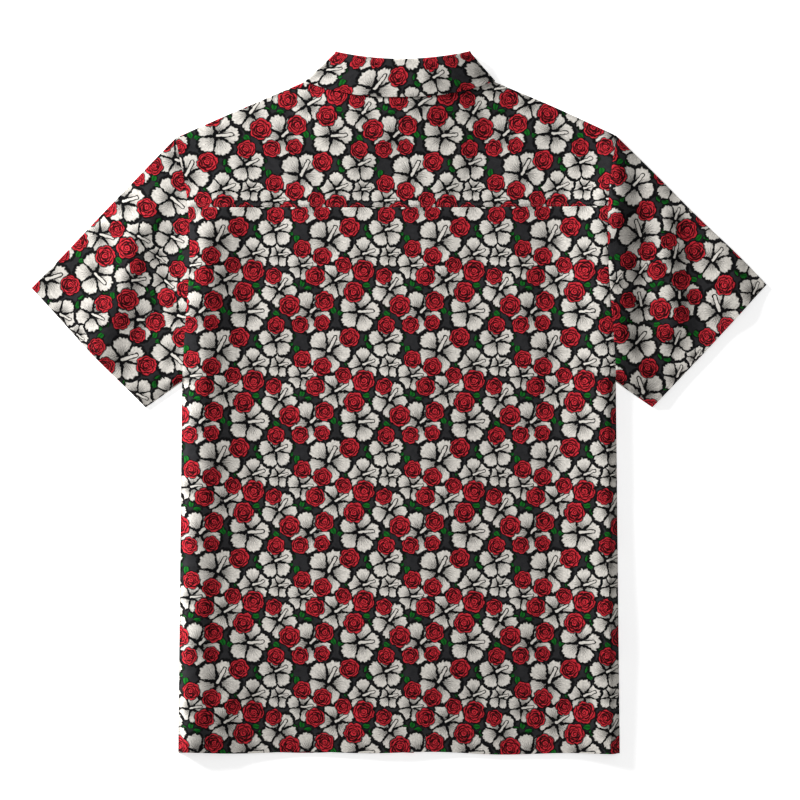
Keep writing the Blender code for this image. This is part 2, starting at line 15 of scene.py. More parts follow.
import bmesh
import bpy
import numpy as np
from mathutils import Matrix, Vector

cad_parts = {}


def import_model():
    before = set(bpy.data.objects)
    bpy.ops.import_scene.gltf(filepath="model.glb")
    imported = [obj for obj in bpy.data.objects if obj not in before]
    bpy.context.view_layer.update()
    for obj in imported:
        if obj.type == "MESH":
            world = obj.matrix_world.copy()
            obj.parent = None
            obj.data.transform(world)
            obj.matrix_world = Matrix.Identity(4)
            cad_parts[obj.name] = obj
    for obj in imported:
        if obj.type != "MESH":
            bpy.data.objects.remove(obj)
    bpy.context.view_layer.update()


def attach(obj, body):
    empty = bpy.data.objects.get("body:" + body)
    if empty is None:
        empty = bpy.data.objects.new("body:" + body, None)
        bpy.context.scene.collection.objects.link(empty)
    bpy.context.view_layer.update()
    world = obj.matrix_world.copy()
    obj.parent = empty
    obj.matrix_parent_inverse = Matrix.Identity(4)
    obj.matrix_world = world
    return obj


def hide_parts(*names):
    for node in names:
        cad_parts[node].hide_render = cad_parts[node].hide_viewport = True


MM = 0.001
BODY = "root"

log = logging.getLogger("shirt")
Array = np.ndarray
Point = tuple[float, float]
Path = tuple[Array, Array]  # points on a cloth's face, and the face's normal at each
Heights = Callable[[Array, Array], Array]
Edge = Callable[[Array], Array] | float  # a curve in plan, y at x, or a level line


class Side(Enum):
    """A side of the shirt, as the sign of its X."""

    LEFT = -1.0
    RIGHT = 1.0


# ------------------------------------------------------------------ shader expressions


def math_method(operation: str, swapped: bool = False) -> Callable[..., "Wire"]:
    """A method of Wire that adds a Math node, with its two values swapped or not.

    Args:
        operation: the node's operation.
        swapped: whether the wire is the second value.

    Returns:
        The method.
    """

    def method(self: "Wire", *other: "Value") -> "Wire":
        """The node's result."""
        values = (*other, self) if swapped else (self, *other)
        return self.board.math(operation, *values)

    return method


class Wire:
    """An output of a shader node that Python's operators act on, each by adding a Math node."""

    def __init__(self, board: "Board", socket: bpy.types.NodeSocket) -> None:
        """Keeps the board that holds the node, and the node's socket."""
        self.board = board
        self.socket = socket

    __add__, __radd__ = math_method("ADD"), math_method("ADD", swapped=True)
    __sub__, __rsub__ = math_method("SUBTRACT"), math_method("SUBTRACT", swapped=True)
    __mul__, __rmul__ = math_method("MULTIPLY"), math_method("MULTIPLY", swapped=True)
    __truediv__, __pow__ = math_method("DIVIDE"), math_method("POWER")
    __abs__ = math_method("ABSOLUTE")


Value = float | tuple[float, ...] | Wire


class Board:
    """The node tree of one material, and short ways to put nodes on it."""

    def __init__(self, name: str) -> None:
        """Makes a material of that name with one Principled shader.

        Args:
            name: the material's name.
        """
        self.material = bpy.data.materials.new(name)
        self.material.use_nodes = True
        self.tree = self.material.node_tree
        self.shader = self.tree.nodes["Principled BSDF"]

    def node(
        self,
        kind: str,
        settings: dict[str, object] | None = None,
        values: dict[int | str, Value] | None = None,
        output: int | str = 0,
    ) -> Wire:
        """Adds a node.

        Args:
            kind: the node's type, without the leading "ShaderNode".
            settings: its properties, which are set first.
            values: a value or a wire for each of its inputs, by index or name.
            output: the output that is wanted, by index or name.

        Returns:
            That output.
        """
        made = self.tree.nodes.new("ShaderNode" + kind)
        for key, value in (settings or {}).items():
            setattr(made, key, value)
        for key, value in (values or {}).items():
            self.feed(made.inputs[key], value)
        return Wire(self, made.outputs[output])

    def feed(self, socket: bpy.types.NodeSocket, value: Value) -> None:
        """Gives an input a value or a link.

        Args:
            socket: the input.
            value: a value, or a wire to link to it.
        """
        if isinstance(value, Wire):
            self.tree.links.new(value.socket, socket)
        else:
            socket.default_value = value

    def math(self, operation: str, *values: Value) -> Wire:
        """A Math node's result."""
        return self.node("Math", {"operation": operation}, dict(enumerate(values)))

    def cosine(self, angle: Value) -> Wire:
        """The cosine of an angle in radians."""
        return self.math("COSINE", angle)

    def least(self, first: Value, second: Value) -> Wire:
        """The lesser of two values."""
        return self.math("MINIMUM", first, second)

    def vector(self, operation: str, *values: Value, output: int | str = 0) -> Wire:
        """A Vector Math node's result."""
        return self.node("VectorMath", {"operation": operation}, dict(enumerate(values)), output)

    def parts(self, vector: Wire) -> tuple[Wire, Wire]:
        """The x and y of a vector."""
        first = self.node("SeparateXYZ", None, {0: vector}, 0)
        return first, Wire(self, first.socket.node.outputs[1])

    def step(self, low: float, high: float, value: Wire) -> Wire:
        """A smooth step: 0 where value is at low or beyond, 1 at high, either way round.

        Args:
            low: value at which it is 0.
            high: value at which it is 1.
            value: what it is worked out of.

        Returns:
            The step, from 0 to 1.
        """
        settings = {"interpolation_type": "SMOOTHSTEP"}
        if low < high:
            return self.node("MapRange", settings, {0: value, 1: low, 2: high, 3: 0.0, 4: 1.0})
        return self.node("MapRange", settings, {0: value, 1: high, 2: low, 3: 1.0, 4: 0.0})

    def blend(self, share: Value, first: Value, second: Value) -> Wire:
        """The first colour at share 0 and the second at share 1."""
        values = {0: share, 6: self.colour(first), 7: self.colour(second)}
        return self.node("Mix", {"data_type": "RGBA"}, values, 2)

    def choose(self, share: Wire, first: Value, second: Value) -> Wire:
        """The first vector at share 0 and the second at share 1."""
        return self.node("Mix", {"data_type": "VECTOR"}, {0: share, 4: first, 5: second}, 1)

    def scaled(self, colour: Value, share: Wire) -> Wire:
        """A colour times a share."""
        return self.node("VectorMath", {"operation": "SCALE"}, {0: colour, "Scale": share})

    @staticmethod
    def colour(value: Value) -> Value:
        """A colour of three numbers gets its fourth."""
        return (*value, 1.0) if isinstance(value, tuple) else value

    def noise(self, place: Wire, scale: float, detail: float = 2.0) -> Wire:
        """Noise from 0 to 1 at a place, with scale cells to a unit."""
        return self.node("TexNoise", None, {"Vector": place, "Scale": scale, "Detail": detail}, 0)


# ------------------------------------------------------------------ finishes


class Motif(NamedTuple):
    """One motif of the print: its centre and reach in millimetres, and its turn in degrees."""

    x: float
    y: float
    turn: float
    reach: float


BLOSSOMS = (
    #         x      y  turn  reach
    Motif(  116,    43,   12,  15.5),
    Motif( 15.1,  30.5,    7,    19),
    Motif( 86.3,  43.9,   21,  20.5),
    Motif(112.2,  71.8,   23,  21.6),
    Motif(116.3,   3.3,   56,  22.6),
    Motif(   54,  13.5,   31,  24.3),
    Motif( 81.2, 104.7,    4,  25.3),
    Motif( 25.5, 104.4,   43,  26.4),
    Motif( 45.8,  59.8,   63,  27.5),
)
ROSES = (
    #         x      y  turn  reach
    Motif( 86.3,  24.9,  171,  12.4),
    Motif(    1, 111.7,  339,    12),
    Motif( 75.2,   0.3,    7,  11.7),
    Motif(   70,  74.8,  319,  11.3),
    Motif( 41.1, 116.6,  216,  10.9),
    Motif( 30.4,  18.3,  101,  10.9),
    Motif( 38.6,  41.3,  323,  10.5),
    Motif(112.3,    89,  334,    10),
    Motif( 15.5,    50,  350,    10),
    Motif( 13.1,  89.6,  167,   9.7),
    Motif(109.7,  18.8,  149,   9.3),
    Motif(   63,  31.2,  239,   9.3),
    Motif( 38.2,  91.7,  320,   8.9),
)
LEAVES = (
    #         x      y  turn  reach
    Motif(    9,    70,  200,  12.5),
    Motif(   14,     3,   80,  11.9),
    Motif(   54,    99,  110,  11.9),
    Motif(   90,    66,   20,  11.3),
    Motif(  107,   107,  320,  11.3),
    Motif(   97,    60,  130,  11.3),
    Motif(   62,    49,   30,  10.8),
    Motif(   97,     8,  250,  11.3),
)


class Ring(NamedTuple):
    """One ring of a rose's petals, in shares of the rose's reach, with its turn in radians."""

    reach: float
    scallop: float
    petals: int
    turn: float


RINGS = (
    Ring(reach=0.98, scallop=0.16, petals=6, turn=0.3),
    Ring(reach=0.74, scallop=0.15, petals=5, turn=1.7),
    Ring(reach=0.52, scallop=0.11, petals=5, turn=0.4),
    Ring(reach=0.32, scallop=0.09, petals=3, turn=1.1),
)

Colour = tuple[float, float, float]


@dataclass(frozen=True)
class Print:
    """Finish of the cloth: a woven ground printed with white blossoms, red roses and small leaves."""

    name: str = "printed_cloth"
    repeat: float = 127.0 * MM
    ground: Colour = (0.0205, 0.0205, 0.022)
    ink: Colour = (0.003, 0.003, 0.0035)
    petal: Colour = (0.70, 0.665, 0.61)
    rose_dark: Colour = (0.14, 0.007, 0.011)
    rose_light: Colour = (0.58, 0.025, 0.038)
    rose_line: Colour = (0.006, 0.002, 0.0025)
    leaf_dark: Colour = (0.003, 0.045, 0.008)
    leaf_light: Colour = (0.008, 0.145, 0.014)
    unsteady: float = 2.6 * MM
    roughness: float = 0.85
    specular: float = 0.05
    slub: Point = (0.9 * MM, 11.0 * MM)
    slub_depth: float = 0.05 * MM

    def material(self) -> bpy.types.Material:
        """Builds the material: the print on its ground, then roughness and the threads' relief.

        Returns:
            The material.
        """
        board = Board(self.name)
        cut = board.node("UVMap", {"uv_map": "cut"})
        drawn = self.hand_drawn(board, cut)
        patchy = self.stretched(board, cut, 3.0 * MM)
        speck = self.stretched(board, cut, 1.1 * MM)
        colour = self.ground_colour(board, cut)
        colour = self.with_leaves(board, drawn, colour)
        colour = self.with_blossoms(board, drawn, patchy, speck, colour)
        colour = self.with_roses(board, drawn, patchy, colour)
        colour = board.scaled(colour, 0.86 + 0.28 * speck)
        board.feed(board.shader.inputs["Base Color"], colour)
        warp = self.threads(board, cut, self.slub)
        weft = self.threads(board, cut, self.slub[::-1])
        board.feed(board.shader.inputs["Roughness"], self.roughness - 0.08 + 0.16 * warp)
        values = {"Strength": 0.5, "Distance": self.slub_depth, "Height": warp + weft}
        board.feed(board.shader.inputs["Normal"], board.node("Bump", None, values))
        board.shader.inputs["Specular IOR Level"].default_value = self.specular
        return board.material

    @staticmethod
    def threads(board: Board, cut: Wire, size: Point) -> Wire:
        """Noise that is drawn out along the threads: one cell is size[0] by size[1]."""
        values = {"Vector": cut, "Scale": (1.0 / size[0], 1.0 / size[1], 1.0)}
        return board.noise(board.node("Mapping", None, values), 1.0)

    @staticmethod
    def stretched(board: Board, cut: Wire, cell: float) -> Wire:
        """Noise with cells of that size, drawn apart from its middle, 0.5, to fill 0 to 1."""
        return 0.5 + 2.0 * (board.noise(cut, 1.0 / cell, 1.0) - 0.5)

    def hand_drawn(self, board: Board, cut: Wire) -> Wire:
        """The cut with each point moved by noise in a plane, so that every outline is unsteady.

        Args:
            board: the board to build on.
            cut: place on the flat cloth.

        Returns:
            The moved place.
        """
        values = {"Vector": cut, "Scale": 1.0 / (4.0 * MM), "Detail": 1.0}
        noise = board.node("TexNoise", None, values, 1)
        moved = board.vector("SUBTRACT", noise, (0.5, 0.5, 0.5))
        moved = board.vector("MULTIPLY", moved, (self.unsteady, self.unsteady, 0.0))
        return board.vector("ADD", cut, moved)

    def ground_colour(self, board: Board, cut: Wire) -> Wire:
        """The ground, a little lighter and darker in patches."""
        light = tuple(1.5 * c for c in self.ground)
        return board.blend(board.noise(cut, 160.0), tuple(0.6 * c for c in self.ground), light)

    def place(self, board: Board, cut: Wire, motif: Motif) -> Wire:
        """A point's place on a motif.

        The cut is wrapped into the repeat round the motif's centre, then moved to it, turned back and
        divided by the motif's reach.

        Args:
            board: the board to build on.
            cut: place on the flat cloth.
            motif: the motif.

        Returns:
            The place, in units of the motif's reach.
        """
        x, y, half = motif.x * MM, motif.y * MM, self.repeat / 2
        wrapped = board.vector("WRAP", cut, (x + half, y + half, 1.0), (x - half, y - half, -1.0))
        values = {
            "Vector": wrapped,
            "Location": (x, y, 0.0),
            "Rotation": (0.0, 0.0, math.radians(motif.turn)),
            "Scale": (motif.reach * MM,) * 3,
        }
        return board.node("Mapping", {"vector_type": "TEXTURE"}, values)

    def gather(
        self,
        board: Board,
        cut: Wire,
        motifs: tuple[Motif, ...],
        edge: Callable[[Board, Wire], Wire] | float,
    ) -> Wire:
        """The place on whichever motif covers a point, the last of them on top, or far off them all.

        Args:
            board: the board to build on.
            cut: place on the flat cloth.
            motifs: the motifs, from the lowest up.
            edge: a motif's outer radius, or what works it out from a place on it.

        Returns:
            The place, in units of the motif's reach.
        """
        found: Value = (9.0, 9.0, 0.0)
        for motif in motifs:
            here = self.place(board, cut, motif)
            far = board.vector("LENGTH", here, output="Value")
            limit = edge(board, here) if callable(edge) else edge
            found = board.choose(board.math("LESS_THAN", far, limit), found, here)
        return found

    @staticmethod
    def polar(board: Board, here: Wire) -> tuple[Wire, Wire]:
        """Radius and angle of a place on a motif."""
        x, y = board.parts(here)
        return board.vector("LENGTH", here, output="Value"), board.math("ARCTAN2", y, x)

    @staticmethod
    def petal_edge(board: Board, here: Wire) -> Wire:
        """Outer radius of a blossom and its dark surround: 0.72 + 0.36 |cos 2.5 a|^0.5 at the angle a."""
        x, y = board.parts(here)
        return 0.72 + 0.36 * abs(board.cosine(2.5 * board.math("ARCTAN2", y, x))) ** 0.5

    def with_blossoms(self, board: Board, cut: Wire, patchy: Wire, speck: Wire, under: Wire) -> Wire:
        """White blossoms over the colour under them.

        Five petals have the outline 0.64 + 0.34 |cos 2.5 a|^0.5 with a ruffle. Ink lines run round it,
        along the clefts between the petals, out from a dark throat to uneven lengths and, fainter, in
        from the rim. A petal is greyer near the throat and where the next one laps it, and flecked. A
        pale column with an ink edge lies from the middle along one petal.

        Args:
            board: the board to build on.
            cut: place on the flat cloth.
            patchy: coarse noise that makes lines longer and shorter.
            speck: fine noise that makes the flecks.
            under: the colour under the blossoms.

        Returns:
            The colour with them.
        """
        here = self.gather(board, cut, BLOSSOMS, self.petal_edge)
        radius, angle = self.polar(board, here)
        lobe = abs(board.cosine(2.5 * angle))
        ruffle = 0.022 * board.cosine(23.0 * angle) + 0.016 * board.cosine(41.0 * angle + 1.3)
        rim = 0.64 + 0.34 * lobe**0.5 + ruffle
        inside, out = rim - radius, radius / rim
        part = board.math("FRACT", angle * (2.5 / math.pi) + 10.5)
        wave = 7.0 * math.pi * part + 0.5 * board.cosine(9.0 * radius)
        vein = abs(board.cosine(wave))
        veins = board.step(0.42, 0.10, vein * (radius * 1.5 + 0.25))
        veins = veins * board.step(0.12, -0.25, out - (0.30 + 0.62 * patchy))
        rims = 0.7 * board.step(0.34, 0.10, vein * (0.5 + 0.5 * radius)) * board.step(0.84, 0.98, out)
        cleft = lobe * radius * 0.4 - 0.10 * (1.0 - out) * patchy
        clefts = board.step(0.05, 0.015, cleft) * board.step(1.1, 0.8, out - 0.3 * (patchy - 0.5))
        throat = board.step(0.24, 0.13, radius + 0.05 * board.cosine(5.0 * angle) - 0.1 * patchy + 0.05)
        flecks = board.step(0.66, 0.80, speck) * (0.15 + 0.4 * board.step(0.95, 0.35, out))
        line = board.step(0.10, 0.04, inside + 0.04 * (patchy - 0.5))
        ink = board.least(line + clefts + 0.95 * veins + rims + throat + flecks, 1.0)
        tone = 0.55 + 0.45 * board.step(0.22, 0.70, out)
        tone = tone * (0.70 + 0.30 * board.step(0.0, 0.3, part)) * (0.71 + 0.36 * patchy)
        petals = board.blend(ink, board.scaled(self.petal, tone), self.ink)
        x, y = board.parts(here)
        along = board.least(board.math("MAXIMUM", x, 0.0), 0.62)
        beside = board.math("SQRT", (x - along) ** 2.0 + y * y)
        petals = board.blend(board.step(0.115, 0.09, beside), petals, self.ink)
        petals = board.blend(board.step(0.066, 0.046, beside), petals, tuple(0.85 * c for c in self.petal))
        under = board.blend(0.9 * board.step(-0.14, -0.04, inside), under, self.ink)
        return board.blend(board.step(-0.006, 0.014, inside), under, petals)

    def with_roses(self, board: Board, cut: Wire, patchy: Wire, under: Wire) -> Wire:
        """Red roses over the colour under them.

        Four rings of scalloped petals lie over each other round a heart. A ring's edge is at reach +
        scallop (|cos(n a / 2 + turn)|^0.6 - 0.6) for n petals at the angle a. From the ring inside it
        to its own edge a petal goes from an ink crescent over dark red to light, with an ink line of
        uneven width along the edge and ink where two petals meet. The heart is a spiral, s = 5.2 r + a
        / 2 pi, dark after each whole number of s. A dark surround lies round the whole rose.

        Args:
            board: the board to build on.
            cut: place on the flat cloth.
            patchy: coarse noise that makes the edges uneven.
            under: the colour under the roses.

        Returns:
            The colour with them.
        """
        here = self.gather(board, cut, ROSES, 1.14)
        radius, angle = self.polar(board, here)
        uneven = 0.09 * (patchy - 0.5)
        scallops = [abs(board.cosine(ring.petals / 2 * angle + ring.turn)) ** 0.6 for ring in RINGS]
        rims = [uneven + (r.reach - 0.6 * r.scallop) + r.scallop * s for r, s in zip(RINGS, scallops)]
        red, within = None, [*rims[1:], 0.02]
        for ring, rim, inner in zip(RINGS, rims, within):
            inside = rim - radius
            rise = (radius - inner) / (rim - inner)
            join = abs(board.cosine(ring.petals / 2 * angle + 0.8 * rise + ring.turn)) * radius
            joins = board.step(0.10, 0.02, 0.8 * join) * board.step(0.1, 0.5, rise)
            width = 0.74 - 0.34 * ring.reach + 0.3 * board.cosine(angle + 5.0 * ring.turn)
            crescent = board.step(0.95, 0.45, rise / width)
            line = board.step(0.045, 0.0, inside - 0.03 - 0.03 * board.cosine(2.0 * angle + 2.0 * ring.turn))
            petals = board.blend(board.step(0.0, 0.75, rise), self.rose_dark, self.rose_light)
            ink = board.least(0.95 * line + 0.95 * joins + 0.92 * crescent, 1.0)
            petals = board.blend(ink, petals, self.rose_line)
            red = petals if red is None else board.blend(board.step(-0.006, 0.012, inside), red, petals)
        coil = board.math("FRACT", 5.2 * radius + angle * (0.5 / math.pi) + 1.0)
        heart = board.blend(board.step(0.2, 0.8, coil), self.rose_dark, self.rose_light)
        heart = board.blend(board.step(0.45, 0.2, coil), heart, self.rose_line)
        red = board.blend(board.step(0.30, 0.27, radius), red, heart)
        under = board.blend(0.9 * board.step(-0.15, -0.04, rims[0] - radius), under, self.ink)
        return board.blend(board.step(-0.006, 0.012, rims[0] - radius), under, red)

    def with_leaves(self, board: Board, cut: Wire, under: Wire) -> Wire:
        """Trios of separate leaves over the ground, each with a dark surround.

        The angle is folded onto the nearest of three leaves, 1.25 rad apart. At a along a leaf and b
        beside its midrib, its half width is 0.4 sqrt(a (1 - a)) (1.2 - 0.4 a).

        Args:
            board: the board to build on.
            cut: place on the flat cloth.
            under: the colour under the leaves.

        Returns:
            The colour with them.
        """
        here = self.gather(board, cut, LEAVES, 1.25)
        radius, angle = self.polar(board, here)
        nearest = board.least(board.math("ROUND", angle / 1.25), 1.0)
        off = angle - 1.25 * board.math("MAXIMUM", nearest, -1.0)
        a = (0.8 * radius * board.cosine(off) - 0.26) / 0.58
        b = 0.8 * radius * abs(board.math("SINE", off))
        spread = board.math("SQRT", board.math("MAXIMUM", a * (1.0 - a), 0.0))
        inside = 0.40 * spread * (1.2 - 0.4 * a) - b - board.step(0.0, -0.1, a)
        ribs = board.step(0.30, 0.12, abs(board.math("FRACT", 5.0 * a - 7.0 * b + 10.0) - 0.5))
        shade = 0.45 + 0.55 * board.step(0.0, 0.16, b) - 0.3 * ribs
        green = board.blend(shade, self.leaf_dark, self.leaf_light)
        green = board.blend(board.step(0.035, 0.01, b), green, self.leaf_dark)
        under = board.blend(0.8 * board.step(-0.16, -0.02, inside), under, self.ink)
        return board.blend(board.step(0.0, 0.03, inside), under, green)


@dataclass(frozen=True)
class Thread:
    """Finish of the sewing thread, twisted from two plies."""

    name: str = "sewing_thread"
    colour: Colour = (0.10, 0.075, 0.07)
    roughness: float = 0.7
    ply: float = 0.35 * MM

    def material(self) -> bpy.types.Material:
        """Builds the material: a colour with painted shade in the grooves between the plies, and the plies
        as slanting relief.

        Returns:
            The material.
        """
        board = Board(self.name)
        place = board.node("TexCoord", None, None, "Object")
        x, y = board.parts(place)
        plies = 0.5 + 0.5 * board.math("SINE", (x + y) * (2.0 * math.pi / self.ply))
        # painted shade: the colour falls to 0.6 of itself in the grooves between the plies, where the relief
        # is low
        dark = tuple(0.6 * c for c in self.colour)
        board.feed(board.shader.inputs["Base Color"], board.blend(plies, dark, self.colour))
        values = {"Strength": 0.4, "Distance": 0.05 * MM, "Height": plies}
        board.feed(board.shader.inputs["Normal"], board.node("Bump", None, values))
        board.shader.inputs["Roughness"].default_value = self.roughness
        return board.material


@dataclass(frozen=True)
class ButtonPlastic:
    """Finish of the buttons: glossy black plastic, faintly clouded, duller where it rubs."""

    name: str = "button_black"
    dark: Colour = (0.012, 0.012, 0.014)
    light: Colour = (0.035, 0.034, 0.036)
    roughness: float = 0.28

    def material(self) -> bpy.types.Material:
        """Builds the material from two scales of noise.

        Returns:
            The material.
        """
        board = Board(self.name)
        place = board.node("TexCoord", None, None, "Object")
        clouds = board.noise(place, 260.0, 3.0)
        board.feed(board.shader.inputs["Base Color"], board.blend(clouds, self.dark, self.light))
        scuffs = board.noise(place, 1400.0)
        board.feed(board.shader.inputs["Roughness"], self.roughness + 0.12 * scuffs)
        return board.material


@dataclass(frozen=True)
class Paper:
    """Finish of the studio floor: pale and matt."""

    name: str = "pale_floor"
    colour: Colour = (0.90, 0.90, 0.90)
    glow: float = 0.62  # the floor is lit from below as well

    def material(self) -> bpy.types.Material:
        """Builds the material.

        Returns:
            The material.
        """
        board = Board(self.name)
        board.shader.inputs["Base Color"].default_value = (*self.colour, 1.0)
        board.shader.inputs["Roughness"].default_value = 0.9
        board.shader.inputs["Emission Color"].default_value = (*self.colour, 1.0)
        board.shader.inputs["Emission Strength"].default_value = self.glow
        return board.material


# ------------------------------------------------------------------ curves and grids


def smooth(t: Array) -> Array:
    """0 below 0, 1 above 1, with a smooth step between."""
    t = np.clip(t, 0.0, 1.0)
    return t * t * (3.0 - 2.0 * t)


def hump(t: Array) -> Array:
    """A bell: 1 at 0, falling as exp(-t squared)."""
    return np.exp(-(t**2))


def segment_distance(x: Array, y: Array, start: Point, end: Point) -> Array:
    """Distance in plan from (x, y) to the straight line between two points.

    Args:
        x, y: places in plan.
        start, end: the line's ends.

    Returns:
        The distances.
    """
    dx, dy = end[0] - start[0], end[1] - start[1]
    t = np.clip(((x - start[0]) * dx + (y - start[1]) * dy) / (dx * dx + dy * dy), 0.0, 1.0)
    return np.hypot(x - start[0] - t * dx, y - start[1] - t * dy)


def shares(length: float, pitch: float, low: bool = True, high: bool = True) -> Array:
    """Shares from 0 to 1 of a length, even but for closer ones at its ends.

    Args:
        length: the length that they divide.
        pitch: the even spacing.
        low: whether they come closer toward 0.
        high: whether they come closer toward 1.

    Returns:
        The shares, rising.
    """
    close = np.array([0.0, 0.3, 0.7, 1.2, 1.9, 2.9]) * MM
    start = close[-1] if low else 0.0
    stop = length - (close[-1] if high else 0.0)
    even = np.linspace(start, stop, max(int(round((stop - start) / pitch)), 1) + 1)
    parts = [close[:-1]] * low + [even] + [length - close[-2::-1]] * high
    return np.concatenate(parts) / length


class Patch(NamedTuple):
    """A grid of a cloth piece.

    points is rows by columns by three. cut is the place of each on the flat cloth, rows by columns by
    two. On a ring, whose last column is joined to its first, cut has one column more.
    """

    points: Array
    cut: Array


def welded(mesh: bpy.types.Mesh, near: float) -> bpy.types.Mesh:
    """Merges a mesh's points that lie that near each other, and turns its faces outward and smooth.

    Args:
        mesh: the mesh, which is changed.
        near: distance within which points are merged.

    Returns:
        The mesh.
    """
    bm = bmesh.new()
    bm.from_mesh(mesh)
    bmesh.ops.remove_doubles(bm, verts=bm.verts, dist=near)
    bmesh.ops.dissolve_degenerate(bm, edges=bm.edges, dist=near / 2)
    bmesh.ops.recalc_face_normals(bm, faces=bm.faces)
    bm.to_mesh(mesh)
    bm.free()
    mesh.shade_smooth()
    return mesh


def patch_mesh(name: str, patches: list[Patch]) -> bpy.types.Mesh:
    """A mesh of quads over the patches' grids, merged where they share an edge, with its UV map.

    Args:
        name: the mesh's name.
        patches: the grids.

    Returns:
        The mesh.
    """
    points, corners, cuts, first = [], [], [], 0
    for patch in patches:
        rows, columns = patch.points.shape[:2]
        i, j = np.meshgrid(np.arange(rows - 1), np.arange(patch.cut.shape[1] - 1), indexing="ij")
        steps = ((0, 0), (0, 1), (1, 1), (1, 0))
        quads = [first + (i + a) * columns + (j + b) % columns for a, b in steps]
        corners.append(np.stack(quads, axis=-1).reshape(-1, 4))
        cuts.append(np.stack([patch.cut[i + a, j + b] for a, b in steps], axis=-2).reshape(-1, 2))
        points.append(patch.points.reshape(-1, 3))
        first += rows * columns
    mesh = bpy.data.meshes.new(name)
    mesh.from_pydata(np.concatenate(points), [], np.concatenate(corners))
    mesh.uv_layers.new(name="cut").data.foreach_set("uv", np.concatenate(cuts).ravel())
    return welded(mesh, 0.005 * MM)


def tube_mesh(name: str, tubes: Iterable[Array]) -> bpy.types.Mesh:
    """A mesh of tubes, each rings by sides by three, whose end rings are single points.

    Args:
        name: the mesh's name.
        tubes: the points of each.

    Returns:
        The mesh.
    """
    points, quads, first = [], [], 0
    for tube in tubes:
        rings, sides = tube.shape[:2]
        i, j = np.meshgrid(np.arange(rings - 1) * sides, np.arange(sides), indexing="ij")
        beside = (j + 1) % sides
        corners = [i + j, i + beside, i + sides + beside, i + sides + j]
        quads.append(first + np.stack(corners, axis=-1).reshape(-1, 4))
        points.append(tube.reshape(-1, 3))
        first += rings * sides
    mesh = bpy.data.meshes.new(name)
    mesh.from_pydata(np.concatenate(points), [], np.concatenate(quads))
    return welded(mesh, 0.002 * MM)


def add_piece(name: str, mesh: bpy.types.Mesh, material: bpy.types.Material) -> bpy.types.Object:
    """An object of that mesh and material, that rides on the shirt's body.

    Args:
        name: the piece's name.
        mesh: its mesh.
        material: its finish.

    Returns:
        The piece.
    """
    mesh.materials.append(material)
    made = bpy.data.objects.new(name, mesh)
    bpy.context.scene.collection.objects.link(made)
    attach(made, BODY)
    log.info("%s: %d faces", name, len(mesh.polygons))
    return made


# ------------------------------------------------------------------ the laid form


def edge_y(edge: Edge, x: Array) -> Array:
    """y along an edge, at x."""
    return edge(x) if callable(edge) else np.full_like(x, edge)


def both_halves(x: Array, y: Array) -> tuple[Array, Array]:
    """A half's plan with its mirror image before it. The column at x = 0 is kept once."""
    return np.concatenate([-x[:, :0:-1], x], axis=1), np.concatenate([y[:, :0:-1], y], axis=1)


